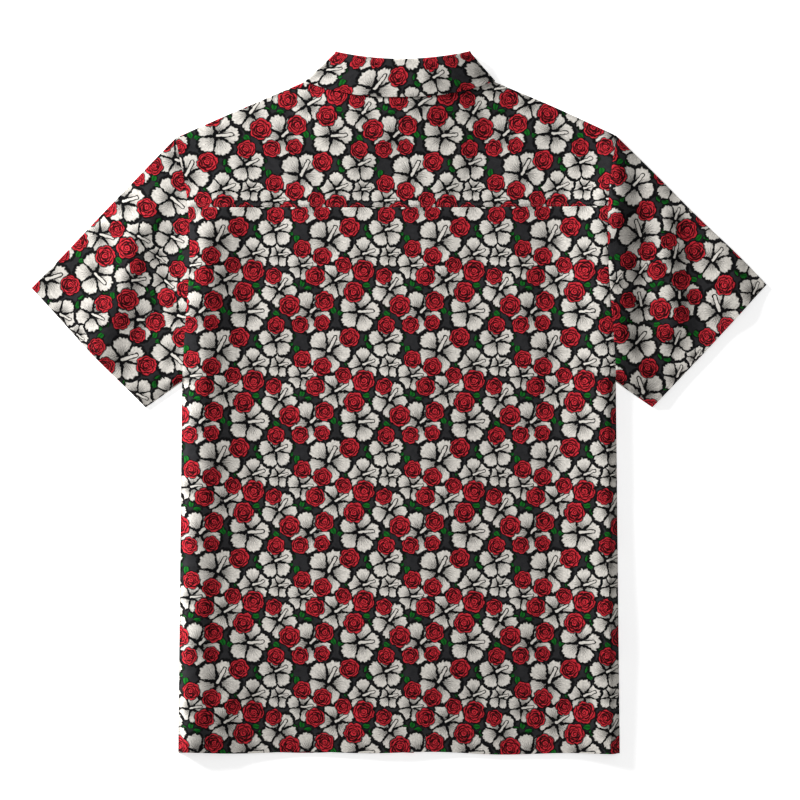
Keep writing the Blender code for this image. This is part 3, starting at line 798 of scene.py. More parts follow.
@dataclass(frozen=True)
class Outline:
    """The laid shirt's outline and seams in plan, half of it, from the hem up."""

    hem_y: float = -403.2 * MM
    hem_half: float = 254.5 * MM
    underarm: Point = (250.0 * MM, 24.0 * MM)
    shoulder: Point = (250.0 * MM, 305.0 * MM)
    neck: Point = (92.0 * MM, 376.0 * MM)
    sleeve_top: Point = (423.5 * MM, 132.0 * MM)
    sleeve_low: Point = (292.0 * MM, -5.5 * MM)
    armhole_scoop: float = 11.0 * MM
    armhole_skew: float = 0.6
    yoke_seam_y: float = 225.0 * MM
    yoke_front: float = 30.7 * MM
    back_neck_y: float = 362.0 * MM
    front_neck_y: float = 300.0 * MM
    front_neck_flat: float = 4.0 * MM
    seam: float = 0.3 * MM
    fold_inset: float = 1.5 * MM
    hem_waves: float = 3.5
    hem_wave: float = 0.9 * MM
    rounds: int = 14  # in which a point that lies on two curves is closed in on

    def closed_edge_distance(self, x: Array, y: Array) -> Array:
        """Distance in plan to the nearest folded or sewn outer edge. Hems are open and don't count.

        Args:
            x, y: place in plan.

        Returns:
            The distance, 0 on an edge.
        """
        ax = np.abs(x)
        folded = (self.neck, self.shoulder, self.sleeve_top)
        sewn = (self.sleeve_low, self.underarm, (self.hem_half, self.hem_y))
        lines = [line[i : i + 2] for line in (folded, sewn) for i in range(2)]
        return np.min([segment_distance(ax, y, a, b) for a, b in lines], axis=0)

    def side_x(self, y: Array) -> Array:
        """Half width of the body: a straight side seam, and above it a scooped armhole.

        At the share t down the armhole the scoop is a sine of pi t (1 + skew (1 - t)).

        Args:
            y: height in plan.

        Returns:
            Half the body's width there.
        """
        down = (self.underarm[1] - y) / (self.underarm[1] - self.hem_y)
        seam = self.underarm[0] + (self.hem_half - self.underarm[0]) * down
        t = np.clip((self.shoulder[1] - y) / (self.shoulder[1] - self.underarm[1]), 0.0, 1.0)
        scoop = np.sin(math.pi * t * (1.0 + self.armhole_skew * (1.0 - t)))
        return np.where(y < self.underarm[1], seam, self.shoulder[0] - self.armhole_scoop * scoop)

    def shoulder_y(self, x: Array) -> Array:
        """Height in plan of the folded shoulder edge, a straight line."""
        slope = (self.shoulder[1] - self.neck[1]) / (self.shoulder[0] - self.neck[0])
        return self.neck[1] + slope * (np.abs(x) - self.neck[0])

    def back_neck(self, x: Array) -> Array:
        """The back neck seam, a parabola."""
        return self.back_neck_y + (self.neck[1] - self.back_neck_y) * (x / self.neck[0]) ** 2

    def front_neck(self, x: Array) -> Array:
        """The front neck seam, level at the centre and a parabola beside it.

        Args:
            x: place across the shirt.

        Returns:
            y of the seam.
        """
        run = self.neck[0] - self.front_neck_flat
        share = np.maximum(np.abs(x) - self.front_neck_flat, 0.0) / run
        return self.front_neck_y + (self.neck[1] - self.front_neck_y) * share**2

    def front_neck_x(self, depth: float) -> float:
        """Where the front neck seam crosses a line that lies depth below the folded shoulder edge.

        It is the root of a quadratic: the parabola of the seam less the straight line.

        Args:
            depth: the line's distance below the edge, along Y.

        Returns:
            x of the crossing.
        """
        run = self.neck[0] - self.front_neck_flat
        slope = (self.neck[1] - self.shoulder[1]) / (self.shoulder[0] - self.neck[0])
        square = (self.neck[1] - self.front_neck_y) / run**2
        rest = self.front_neck_y - self.neck[1] - slope * run + depth
        return self.front_neck_flat + (math.sqrt(slope**2 - 4.0 * square * rest) - slope) / (2.0 * square)

    def front_top(self, x: Array) -> Array:
        """Top edge of a front: its neck seam, and its yoke seam beyond."""
        return np.minimum(self.front_neck(x), self.shoulder_y(x) - self.yoke_front - self.seam)

    def yoke_top(self, x: Array) -> Array:
        """Top edge of the yoke: its neck seam, and the folded shoulder edge beyond."""
        folded = self.shoulder_y(x) - self.fold_inset
        return np.where(np.abs(x) < self.neck[0], self.back_neck(x), folded)

    def hem(self, x: Array) -> Array:
        """The hem, faintly waved."""
        return self.hem_y + self.hem_wave * np.sin(math.pi * self.hem_waves * x / self.hem_half)

    def panel(self, x_in: float, across: Array, up: Array, low: Edge, top: Edge) -> tuple[Array, Array]:
        """Plan of a panel between two curves, from x_in to the body's side.

        Args:
            x_in: where its inner edge is.
            across: shares of the way to the side, one to a column.
            up: shares of the height, one to a row.
            low: its lower edge.
            top: its upper edge.

        Returns:
            The arrays x and y, rows by columns.
        """
        x_top = x_in + across * (self.shoulder[0] - x_in)
        for _ in range(self.rounds):
            y_top = edge_y(top, x_top)
            x_top = x_in + across * (self.side_x(y_top) - x_in)
        y_low = edge_y(low, x_in + across * (self.hem_half - x_in))
        y = y_low[None, :] + up[:, None] * (y_top - y_low)[None, :]
        return x_in + across[None, :] * (self.side_x(y) - x_in), y


class Fold(NamedTuple):
    """A soft ridge, or a trough where height is negative, along a line, in millimetres."""

    x0: float
    y0: float
    x1: float
    y1: float
    width: float
    height: float


FOLDS = (
    #      x0    y0    x1    y1  width  height
    Fold(-226,  190, -238, -390,    16,    2.6),  # left side
    Fold(-219,  200, -236, -375,    35,    7.2),
    Fold( 246,  215,  258, -395,    44,     10),  # right side
    Fold( 174,  180,  174, -300,    22,   -0.9),
    Fold( 246,  285,  250,  200,    12,    2.6),  # right armhole
    Fold( 262,  292,  262,  236,    44,    3.2),
    Fold( 272,  262,  281,   64,    16,   -3.4),
    Fold( 306,  206,  318,   90,    16,      4),  # right sleeve
    Fold( 372,  192,  396,   96,    17,    3.2),
    Fold( 338,  160,  350,   84,    15,   -1.6),
    Fold(-282,  226, -344,   62,    19,    2.8),  # left sleeve
    Fold(-294,  210, -352,   62,    36,    3.4),
    Fold(-300,   40, -290,   10,    14,    1.5),
    Fold(-205, -400, -194, -330,    15,    1.6),  # hem
    Fold(-224, -352, -230, -402,    86,    4.4),
    Fold( 112, -402,  120, -340,    24,    0.9),
    Fold(-190, -270,  190, -270,    95,    2.8),
    Fold(-110,  215, -150,   60,    26,    1.4),  # across the back
    Fold( 120,  212,  158,   40,    28,    1.4),
    Fold(  44,  374,   40,  400,    42,    2.4),  # back of the neck
)


class Crease(NamedTuple):
    """A fine crease along a bowed line, tapering at both ends. All in millimetres."""

    x0: float
    y0: float
    x1: float
    y1: float
    bow: float
    width: float
    height: float


CREASES = (
    #        x0    y0    x1    y1  bow  width  height
    Crease(-228,  120, -214,  -40,   5,     7,   -0.7),  # left side
    Crease(-240,  -60, -226, -210,  -4,     6,    0.6),
    Crease(-222, -190, -208, -360,   5,     8,   -0.7),
    Crease(-176, -395, -168, -300,   3,     8,    0.7),
    Crease( 222,  150,  232,  -20,  -5,     7,    0.7),  # right side
    Crease( 214,  -40,  228, -190,   4,     7,   -0.6),
    Crease( 224, -230,  234, -380,  -3,     6,    0.6),
    Crease(-236,  190, -198,  140,   4,     6,    0.6),  # from the left armhole
    Crease(-240,   90, -196,   66,   3,     6,   -0.6),
    Crease(-244,   40, -206,   48,  -3,     5,    0.6),
    Crease( 238,  170,  204,  128,  -4,     6,    0.6),  # from the right armhole
    Crease( 240,   96,  200,   70,  -3,     6,   -0.6),
    Crease( 246,   36,  208,   44,   3,     5,    0.6),
    Crease( -60,  216,  -74,  120,   4,     9,    0.6),  # under the yoke
    Crease( -16,  214,  -10,   90,  -5,    11,    0.5),
    Crease(  48,  216,   60,  118,   5,     9,    0.6),
    Crease( 176,  214,  186,  130,   3,     8,   -0.5),
    Crease(-168,  214, -182,  120,  -3,     8,   -0.5),
    Crease(-120,   20,  -70,  -70,   9,    14,    0.5),  # across the back
    Crease(  40,  -30,  110, -110, -10,    15,    0.5),
    Crease( -90, -160,   10, -230,  12,    16,   -0.5),
    Crease(  70, -240,  150, -290,   8,    13,    0.5),
    Crease( -40, -398,  -34, -330,   3,     8,    0.6),  # hem
    Crease(  56, -398,   50, -340,  -3,     8,    0.6),
    Crease( 178, -398,  172, -320,   3,     9,    0.6),
    Crease(-150,  330, -128,  262,   4,     8,    0.5),  # yoke
    Crease( 158,  326,  136,  256,  -4,     8,    0.5),
    Crease(-214,  300, -196,  240,   3,     6,    0.5),
    Crease( 210,  300,  196,  244,  -3,     6,    0.5),
    Crease(-262,  250, -330,  150,   6,     7,    0.8),  # left sleeve
    Crease(-256,  180, -286,   70,  -5,     6,   -0.8),
    Crease(-300,  226, -372,  150,  -6,     8,    0.6),
    Crease(-330,   70, -318,   20,   3,     6,    0.7),
    Crease(-262,   60, -296,   20,   3,     5,    0.7),
    Crease(-392,  150, -350,  120,   3,     6,   -0.6),
    Crease( 262,  240,  286,  120,  -5,     6,   -0.8),  # right sleeve
    Crease( 282,  236,  338,  150,   6,     7,    0.7),
    Crease( 318,  214,  382,  140,   5,     8,    0.6),
    Crease( 262,   70,  292,   24,  -3,     5,    0.7),
    Crease( 330,  110,  318,   36,  -4,     6,   -0.7),
    Crease( 388,  146,  362,   96,   3,     6,    0.6),
)
FRONT_CREASES = (
    #        x0    y0    x1    y1  bow  width  height
    Crease(-228,  150, -220, -120,   8,    11,    1.3),
    Crease(-196,   60, -188, -300,  -9,    13,    1.1),
    Crease(-150,  250, -120,  110,  10,    12,    0.9),
    Crease(-110,   10,  -84, -190, -10,    13,    0.9),
    Crease(-146, -398, -150, -280,   5,    12,    1.2),
    Crease( 226,  170,  222,  -60,  -8,    11,    1.3),
    Crease( 194,  -20,  200, -330,   8,    13,    1.1),
    Crease( 142,  240,  122,   90, -10,    12,    0.9),
    Crease(  92,  -60,  120, -240,   9,    13,    0.9),
    Crease( 130, -398,  126, -300,  -5,    12,    1.2),
    Crease(-262,  220, -330,  110,   7,    11,    1.1),
    Crease(-290,  120, -300,   30,  -4,     9,    0.9),
    Crease( 264,  210,  332,  104,  -7,    11,    1.1),
    Crease( 284,  120,  304,   34,   4,     9,    0.9),
)


def creases_z(x: Array, y: Array, creases: tuple[Crease, ...]) -> Array:
    """Sum of fine creases.

    At t along a crease's line its ridge lies bow * 4 t (1 - t) beside the line, and its height there is
    a bell across it times a smooth taper at both ends.

    Args:
        x, y: place in plan.
        creases: the creases.

    Returns:
        Their height.
    """
    total = np.zeros_like(x)
    for crease in creases:
        dx, dy = (crease.x1 - crease.x0) * MM, (crease.y1 - crease.y0) * MM
        length = math.hypot(dx, dy)
        px, py = x - crease.x0 * MM, y - crease.y0 * MM
        t = np.clip((px * dx + py * dy) / length**2, 0.0, 1.0)
        beside = (py * dx - px * dy) / length - crease.bow * MM * 4.0 * t * (1.0 - t)
        taper = smooth(t / 0.35) * smooth((1.0 - t) / 0.35)
        total = total + crease.height * MM * hump(beside / (crease.width * MM)) * taper
    return total


@dataclass(frozen=True)
class Lay:
    """Heights of the laid shirt's layers over the floor, as functions of the place in plan."""

    outline: Outline = field(default_factory=Outline)
    wall: float = 1.0 * MM  # room that a layer of cloth takes up in the source's solids
    shell: float = 0.6 * MM  # thickness of the cloth that shows
    fold_gap: float = 1.0 * MM
    button_lift: float = 2.4 * MM
    placket_flat: float = 13.0 * MM
    placket_fall: float = 20.0 * MM
    overlap_half: float = 17.0 * MM
    overlap_flat: float = 2.0 * MM
    overlap_clear: float = 0.45 * MM
    overlap_fall: float = 16.0 * MM
    collar_rise: float = 1.8 * MM
    front_reach: Point = (29.0 * MM, 15.0 * MM)
    back_reach: Point = (60.0 * MM, 60.0 * MM)
    loft: float = 2.2 * MM
    loft_reach: float = 28.0 * MM
    edge_reach: float = 9.5 * MM
    edge_pinch: float = 8.0 * MM
    seam_pinch: float = 9.0 * MM
    placket_rise: float = 0.8 * MM
    placket_reach: float = 50.0 * MM
    hem_drop: float = 2.6 * MM
    hem_reach: float = 60.0 * MM
    neck_dome: float = 5.0 * MM
    neck_dome_half: float = 100.0 * MM
    neck_dome_ys: Point = (270.0 * MM, 370.0 * MM)
    least_gap: float = 0.5 * MM
    fold_clear: float = 0.05 * MM
    leaf_point: Point = (58.0 * MM, 272.0 * MM)
    leaf_side: Point = (115.0 * MM, 368.8 * MM)
    stand_front: Point = (4.0 * MM, 328.0 * MM)
    seam_dip: float = 0.45 * MM
    seam_dip_half: float = 1.6 * MM
    turn_up: float = 20.0 * MM  # depth of the turned hem
    turn_up_dip: float = 0.16 * MM
    turn_up_half: float = 1.3 * MM
    wave: float = 0.6 * MM
    pucker: float = 0.14 * MM
    arm_gathers: Point = (13.0 * MM, 7.0 * MM)  # length of a gather and its reach from the seam
    yoke_gathers: Point = (17.0 * MM, 9.0 * MM)
    front_from: Point = (40.0 * MM, 25.0 * MM)  # where the fronts' creases begin, and in what length
    front_below: Point = (180.0 * MM, 60.0 * MM)  # the same for where they end, under the yoke
    front_half: float = 200.0 * MM

    def collar_lift(self, x: Array, y: Array, reach: Point) -> Array:
        """Height that the collar's leaf gives to what lies over it, from reach below its edge.

        It is a smooth step across the leaf's edge, two straight lines that meet at its point.

        Args:
            x, y: place in plan.
            reach: where the step begins below the edge, and how long it is.

        Returns:
            The height.
        """
        point, side, front = self.leaf_point, self.leaf_side, self.stand_front
        inner = (front[1] - point[1]) / (point[0] - front[0])
        outer = (side[1] - point[1]) / (side[0] - point[0])
        away = np.abs(x) - point[0]
        edge = point[1] + np.where(away < 0.0, -inner * away, outer * away)
        return self.collar_rise * smooth((y - edge + reach[0]) / reach[1])

    def placket_lift(self, x: Array) -> Array:
        """Height that the buttons give to the placket: a flat with a smooth slope each side."""
        return self.button_lift * (1.0 - smooth((np.abs(x) - self.placket_flat) / self.placket_fall))

    def overlap_lift(self, x: Array) -> Array:
        """Height of the inner front over the outer one, with x growing toward the inner one's side."""
        past = x - self.overlap_half - self.overlap_flat
        return (self.wall + self.overlap_clear) * (1.0 - smooth(past / self.overlap_fall))

    def under_z(self, x: Array, y: Array) -> Array:
        """Underside of the lower layer."""
        return np.maximum(self.collar_lift(x, y, self.front_reach), self.placket_lift(x))

    def folds_z(self, x: Array, y: Array) -> Array:
        """Sum of the ridges and troughs of FOLDS, each a bell across its line.

        Args:
            x, y: place in plan.

        Returns:
            Their height.
        """
        total = np.zeros_like(x)
        for fold in FOLDS:
            ends = (fold.x0 * MM, fold.y0 * MM), (fold.x1 * MM, fold.y1 * MM)
            away = segment_distance(x, y, *ends)
            total = total + fold.height * MM * hump(away / (fold.width * MM))
        return total

    def with_least(self, air: Array | float) -> Array:
        """Air between the layers, kept softly over the least by log(1 + exp)."""
        least = self.least_gap - self.fold_gap
        return least + MM * np.logaddexp(0.0, (air - least) / MM)

    def over_z(self, x: Array, y: Array) -> Array:
        """Underside of the upper layer: the back, the yoke and the sleeves' upper halves.

        The air under it is loft (1 - exp(-d / reach)) at the distance d from a closed edge, with a rise
        over the placket, a drop toward the hem, a dome behind the neck and FOLDS, and never under the least.

        Args:
            x, y: place in plan.

        Returns:
            Its height over the floor.
        """
        closed = self.outline.closed_edge_distance(x, y)
        open_share = 1.0 - np.exp(-closed / self.loft_reach)
        on_placket = hump(x / self.placket_reach)
        near_hem = np.exp(-np.maximum(y - self.outline.hem_y, 0.0) / self.hem_reach)
        hem = self.hem_drop * near_hem * open_share * (1.0 - on_placket)
        arch = np.clip(1.0 - (x / self.neck_dome_half) ** 2, 0.0, 1.0)
        low, high = self.neck_dome_ys
        dome = self.neck_dome * arch * smooth((y - low) / (high - low))
        folds = self.folds_z(x, y) * smooth(closed / self.edge_reach)
        air = self.loft * open_share + self.placket_rise * on_placket - hem + dome + folds
        air = self.with_least(air) - self.with_least(0.0) * np.exp(-closed / self.edge_pinch)
        return self.collar_lift(x, y, self.back_reach) + self.wall + self.fold_gap + air

    def side_pinch(self, x: Array, y: Array) -> Array:
        """How far the back comes down to a seam's gap along the side seams.

        Args:
            x, y: place in plan.

        Returns:
            How far it comes down.
        """
        ends = self.outline.underarm, (self.outline.hem_half, self.outline.hem_y)
        away = segment_distance(np.abs(x), y, *ends)
        return (self.fold_gap - self.outline.seam) * hump(away / self.seam_pinch)

    def waves(self, x: Array, y: Array) -> Array:
        """Slow waves of the cloth: a sum of four slanting sines, 90 to 210 mm long.

        Args:
            x, y: place in plan.

        Returns:
            Their height.
        """
        total = 0.30 * np.sin(x / (19.0 * MM) + 0.8 * np.sin(y / (47.0 * MM)))
        total = total + 0.25 * np.sin((x + 0.5 * y) / (33.0 * MM) + 1.7)
        total = total + 0.25 * np.sin((y - 0.4 * x) / (29.0 * MM) + 0.6)
        return self.wave * (total + 0.2 * np.sin((0.8 * x - y) / (15.0 * MM) + 2.9))

    def puckers(self, along: Array, away: Array, pitch: float, reach: float) -> Array:
        """Gathers beside a seam: waves of uneven pitch along it that fade away from it.

        Their phase along the seam wanders by a slower sine, and they fade as exp(-distance / reach).

        Args:
            along: place along the seam.
            away: distance from it.
            pitch: length of a wave.
            reach: distance in which they fade.

        Returns:
            Their height.
        """
        phase = 2.0 * math.pi * along / pitch
        uneven = np.sin(phase + 1.4 * np.sin(phase / 3.7)) + 0.5 * np.sin(0.43 * phase + 1.1)
        return self.pucker * uneven * np.exp(-np.abs(away) / reach)

    def sewn(self, x: Array, y: Array) -> Array:
        """Grooves and gathers along the yoke's seam, the armholes and the turned hem.

        Args:
            x, y: place in plan.

        Returns:
            The height of the gathers less the grooves' depth.
        """
        line = self.outline
        ax = np.abs(x)
        arm = ax - line.side_x(y)
        on_arm = smooth((y - line.underarm[1]) / (6.0 * MM))
        across = hump(arm / self.seam_dip_half) * on_arm
        yoke = y - line.yoke_seam_y
        on_yoke = smooth((line.side_x(y) - ax) / (2.0 * MM) + 1.0)
        groove = hump(yoke / self.seam_dip_half) * on_yoke
        hem = hump((y - line.hem(x) - self.turn_up) / self.turn_up_half) * (arm < 0.0)
        dip = self.seam_dip * np.maximum(across, groove) + self.turn_up_dip * hem
        gathers = self.puckers(y, arm, *self.arm_gathers) * on_arm
        gathers = gathers + self.puckers(x, yoke, *self.yoke_gathers) * on_yoke
        return gathers - dip

    def upper(self, x: Array, y: Array) -> Array:
        """Middle of the upper layer, with its finer relief.

        Args:
            x, y: place in plan.

        Returns:
            Its height over the floor.
        """
        closed = self.outline.closed_edge_distance(x, y)
        fine = creases_z(x, y, CREASES) + self.waves(x, y) + self.sewn(x, y)
        return self.over_z(x, y) + self.wall / 2 + fine * smooth(closed / self.edge_reach)

    def upper_body(self, x: Array, y: Array) -> Array:
        """Middle of the upper layer, brought down along the side seams."""
        return self.upper(x, y) - self.side_pinch(x, y)

    def lower(self, x: Array, y: Array) -> Array:
        """Middle of the lower layer: it rests on the floor but for soft creases that lift off it.

        Args:
            x, y: place in plan.

        Returns:
            Its height over the floor.
        """
        closed = self.outline.closed_edge_distance(x, y)
        loft = (1.0 - np.exp(-closed / self.loft_reach)) * smooth(closed / self.edge_reach)
        beside = smooth((np.abs(x) - self.front_from[0]) / self.front_from[1])
        high = smooth((y - self.front_below[0]) / self.front_below[1])
        low = 1.0 - high * (np.abs(x) < self.front_half)
        lift = creases_z(x, y, FRONT_CREASES) * loft * beside * low
        return self.under_z(x, y) + self.wall / 2 + lift

    def folded_under(self, x: Array, y: Array) -> Array:
        """Middle of the lower layer of a folded piece, just clear of the floor."""
        return self.lower(x, y) + self.fold_clear


class Tug(NamedTuple):
    """A slight pull on the laid cloth: its centre, its move and its reach, in millimetres."""

    x: float
    y: float
    dx: float
    dy: float
    reach: float


TUGS = (
    #      x     y    dx    dy  reach
    Tug(-250,  305, -7.5, -0.5,    85),  # left shoulder's point
    Tug(-165,  345,    0,  1.6,    75),
    Tug(-335,  222, -1.8,  1.9,    75),  # left sleeve
    Tug(-350,   60, -1.4, -1.5,    60),
    Tug( 180,  335,    0,  3.6,    85),  # right shoulder
    Tug( 300,  260,  1.8,  1.8,    80),  # right sleeve
    Tug( 400,  160,  0.4,    5,    70),
    Tug( 150, -403,    0, -2.2,    70),  # hem
)


def settled(points: Array) -> Array:
    """The points moved in plan by TUGS, each a bell of the distance to its centre.

    Args:
        points: points, with x, y and z last.

    Returns:
        The moved points.
    """
    moved = points.copy()
    for tug in TUGS:
        away = np.hypot(points[..., 0] - tug.x * MM, points[..., 1] - tug.y * MM)
        moved[..., :2] += hump(away / (tug.reach * MM))[..., None] * np.array([tug.dx, tug.dy]) * MM
    return moved


def at(x: Array, y: Array, height: Heights) -> Array:
    """Points over (x, y) at a height that is a function of them, settled as the shirt lies."""
    return settled(np.stack([x, y, height(x, y)], axis=-1))


def folded_edge(over: Array, under: Array, toward: Array, reach: float, steps: int = 7) -> Array:
    """Points round a folded edge, a half ellipse between the upper layer and the lower one.

    Args:
        over: points of the upper layer where the round begins.
        under: points of the lower layer below them.
        toward: unit direction in plan out of the cloth, one for all the points or one for each.
        reach: how far the round stands out.
        steps: spans of the half ellipse.

    Returns:
        The points between the two, steps - 1 of each, first axis round the edge.
    """
    angle = np.linspace(math.pi / 2, -math.pi / 2, steps + 1)[1:-1, None, None]
    middle, half = (over + under) / 2, (over - under) / 2
    outward = np.concatenate([toward, np.zeros((*toward.shape[:-1], 1))], axis=-1)
    return middle + half * np.sin(angle) + reach * np.cos(angle) * outward


# ------------------------------------------------------------------ sewing


@dataclass
class Sewing:
    """Rows of stitches. Each stitch is a slim spindle that sinks into the cloth at both ends."""

    material: bpy.types.Material
    pitch: float = 3.1 * MM
    length: float = 2.5 * MM
    radius: float = 0.16 * MM
    rise: float = 0.02 * MM
    sides: int = 6

    def spindles(self, path: Array, normal: Array) -> Array:
        """Points of the stitches along a path.

        A stitch's radius is that of an ellipse's power 0.35 along it, and its ring of sides stands
        across the path.

        Args:
            path: points on the cloth's face, rows by three.
            normal: the face's direction out of the cloth at each.

        Returns:
            Points, stitches by stations by sides by three. The end stations are single points.
        """
        run = np.concatenate([[0.0], np.cumsum(np.linalg.norm(np.diff(path, axis=0), axis=1))])
        starts = np.arange(0.6 * self.pitch, run[-1] - self.pitch, self.pitch)
        along = np.array([0.0, 0.14, 0.5, 0.86, 1.0])
        where = starts[:, None] + along[None, :] * self.length
        centre = np.stack([np.interp(where, run, path[:, k]) for k in range(3)], axis=-1)
        up = np.stack([np.interp(where, run, normal[:, k]) for k in range(3)], axis=-1)
        ahead = centre[:, -1:] - centre[:, :1]
        ahead = ahead / np.linalg.norm(ahead, axis=-1, keepdims=True)
        beside = np.cross(up, np.broadcast_to(ahead, up.shape))
        beside = beside / np.linalg.norm(beside, axis=-1, keepdims=True)
        swell = (4.0 * along * (1.0 - along)) ** 0.35
        centre = centre + up * (self.rise * swell - 0.12 * MM * (1.0 - swell))[None, :, None]
        turn = 2.0 * math.pi * np.arange(self.sides) / self.sides
        across = beside[:, :, None] * np.cos(turn)[None, None, :, None]
        ring = across + up[:, :, None] * np.sin(turn)[None, None, :, None]
        return centre[:, :, None] + ring * (self.radius * swell)[None, :, None, None]

    def rows(self, name: str, paths: list[Path]) -> bpy.types.Object:
        """A piece with all the stitches of several rows."""
        tubes = np.concatenate([self.spindles(path, normal) for path, normal in paths])
        return add_piece(name, tube_mesh(name, tubes), self.material)


# ------------------------------------------------------------------ cloth pieces


FRONTS = ["front_left_cloth", "front_right_cloth"]


@dataclass
class ClothPiece:
    """What every cut piece has: how it lies, its finish, its sewing and the size that it was cut to."""

    lay: Lay
    material: bpy.types.Material
    sewing: Sewing
    pitch: float = 3.0 * MM
    print_shift: Point = (0.0, 0.0)
    flat_size: Point = (0.0, 0.0)
    flat_area: float = 0.0
    row_end: float = 2.0 * MM  # from the end of a row of stitches to the piece's edge

    def row(self, x: Array, y: Array, height: Heights, up: float = 1.0) -> Path:
        """A path over the line (x, y) on the upper (up = 1) or under (-1) face of a laid layer.

        Args:
            x, y: points of the line in plan.
            height: the layer's middle, a height at a place in plan.
            up: the face.

        Returns:
            The path.
        """
        step = 0.5 * MM
        slope_x = (height(x + step, y) - height(x - step, y)) / (2 * step)
        slope_y = (height(x, y + step) - height(x, y - step)) / (2 * step)
        normal = np.stack([-slope_x, -slope_y, np.ones_like(x)], axis=-1)
        normal = up * normal / np.linalg.norm(normal, axis=1, keepdims=True)
        return at(x, y, height) + self.lay.shell / 2 * normal, normal

    def grid_row(self, points: Array) -> Path:
        """A path on the face over the middle one of three neighbouring rows of a middle surface.

        Args:
            points: the three rows, each columns by three.

        Returns:
            The path.
        """
        normal = np.cross(np.gradient(points[1], axis=0), points[2] - points[0])
        normal = normal / np.linalg.norm(normal, axis=1, keepdims=True)
        return points[1] + self.lay.shell / 2 * normal, normal

    def make(
        self,
        name: str,
        node: str,
        patches: list[Patch],
        stitches: str,
        rows: list[Path],
        rests_on: list[str],
    ) -> None:
        """Args:
            name: the piece's name.
            node: the source's solid that it stands for.
            patches: its middle surface.
            stitches: the name of the piece with its stitches.
            rows: the paths that they lie along.
            rests_on: the pieces that it lies on. It is not used.
        """
        made = add_piece(name, patch_mesh(name, patches), self.material)
        wall = made.modifiers.new("wall", "SOLIDIFY")
        wall.thickness = self.lay.shell
        wall.offset = 0.0
        wall.use_even_offset = True
        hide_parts(node)
        sewn = [self.sewing.rows(stitches, rows)]


@dataclass
class BackPanel(ClothPiece):
    """The body's back below the yoke seam."""

    flat_size: Point = (0.510, 0.629)
    flat_area: float = 0.317

    def build(self) -> None:
        """Makes the panel, with its hem sewn. Its lowest rows follow the wave of the whole hem."""
        lay, line = self.lay, self.lay.outline
        top = line.yoke_seam_y - line.seam
        up = shares(top - line.hem_y, self.pitch)
        half = shares(line.hem_half, self.pitch, low=False)
        x, y = both_halves(*line.panel(0.0, half, up, line.hem, top))
        y = y + (line.hem(x) - y[0]) * (1.0 - up[:, None]) ** 8
        patch = Patch(at(x, y, lay.upper_body), np.stack([x, y], axis=-1) + self.print_shift)
        end = line.hem_half - self.row_end
        hx = np.linspace(-end, end, 300)
        row = self.row(hx, line.hem(hx) + lay.turn_up, lay.upper_body)
        self.make("back_cloth", "back_panel", [patch], "back_hem_stitches", [row], FRONTS)


@dataclass
class BackYoke(ClothPiece):
    """The yoke: a panel over the upper back that folds over each shoulder to the front."""

    row_pitch: float = 2.6 * MM
    print_shift: Point = (31.0 * MM, 52.0 * MM)
    flat_size: Point = (0.500, 0.182)
    flat_area: float = 0.0726
    sewn_half: float = 236.0 * MM
    sewn_above: float = 2.2 * MM

    def strip(self, x: Array, y: Array, across: Array, side: Side) -> Patch:
        """The part that folds over one shoulder, from the panel's top edge (x, y).

        Its rows lie at even depths below the folded edge, each from the front neck seam to the armhole.
        On the flat cloth it is the mirror image of its plan in the folded edge.

        Args:
            x, y: the edge's points, from the neck out.
            across: their shares of the way from the neck to the armhole.
            side: the shoulder.

        Returns:
            The strip's grid, joined to the panel's by its first row.
        """
        lay, line = self.lay, self.lay.outline
        over, under = at(x, y, lay.upper), at(x, y, lay.folded_under)
        around = folded_edge(over, under, np.array([0.0, 1.0]), line.fold_inset - lay.shell / 2)
        lines = [np.stack([x, y], axis=-1)]
        below = shares(line.yoke_front, self.pitch, low=False)[1:]
        for depth in line.fold_inset + (line.yoke_front - line.fold_inset) * below:
            inner, outer = line.front_neck_x(depth), line.shoulder[0]
            for _ in range(line.rounds):
                outer = float(line.side_x(line.shoulder_y(outer) - depth))
            sx = side.value * (inner + across * (outer - inner))
            lines.append(np.stack([sx, line.shoulder_y(sx) - depth], axis=-1))
        plan = np.array(lines)
        points = np.concatenate([over[None], around, at(plan[..., 0], plan[..., 1], lay.folded_under)])
        run = np.array([line.shoulder[0] - line.neck[0], line.shoulder[1] - line.neck[1]])
        normal = np.array([-side.value * run[1], run[0]]) / np.linalg.norm(run)
        depth = line.shoulder_y(plan[..., 0]) - plan[..., 1]
        mirrored = plan + 2.0 * (depth * normal[1])[..., None] * normal
        rise = np.linspace(0.0, 1.0, len(around) + 1)[:, None, None] * (mirrored[0] - lines[0])
        return Patch(points, np.concatenate([lines[0] + rise, mirrored]) + self.print_shift)

    def build(self) -> None:
        """Makes the yoke, with a row of stitches above its seam."""
        lay, line = self.lay, self.lay.outline
        share = line.neck[0] / line.shoulder[0]
        neck = share * shares(line.neck[0], self.pitch, low=False, high=False)
        across = shares(line.shoulder[0] - line.neck[0], self.pitch, low=False)
        half = np.concatenate([neck[:-1], share + (1.0 - share) * across])
        up = shares(line.shoulder[1] - line.yoke_seam_y, self.row_pitch)
        x, y = both_halves(*line.panel(0.0, half, up, line.yoke_seam_y, line.yoke_top))
        patches = [Patch(at(x, y, lay.upper), np.stack([x, y], axis=-1) + self.print_shift)]
        right = slice(len(half) + len(neck) - 2, None)
        left = slice(len(half) - len(neck), None, -1)
        for part, side in ((right, Side.RIGHT), (left, Side.LEFT)):
            patches.append(self.strip(x[-1, part], y[-1, part], across, side))
        sx = np.linspace(-self.sewn_half, self.sewn_half, 280)
        row = self.row(sx, np.full_like(sx, line.yoke_seam_y + self.sewn_above), lay.upper)
        self.make("yoke_cloth", "back_yoke", patches, "yoke_stitches", [row], FRONTS)


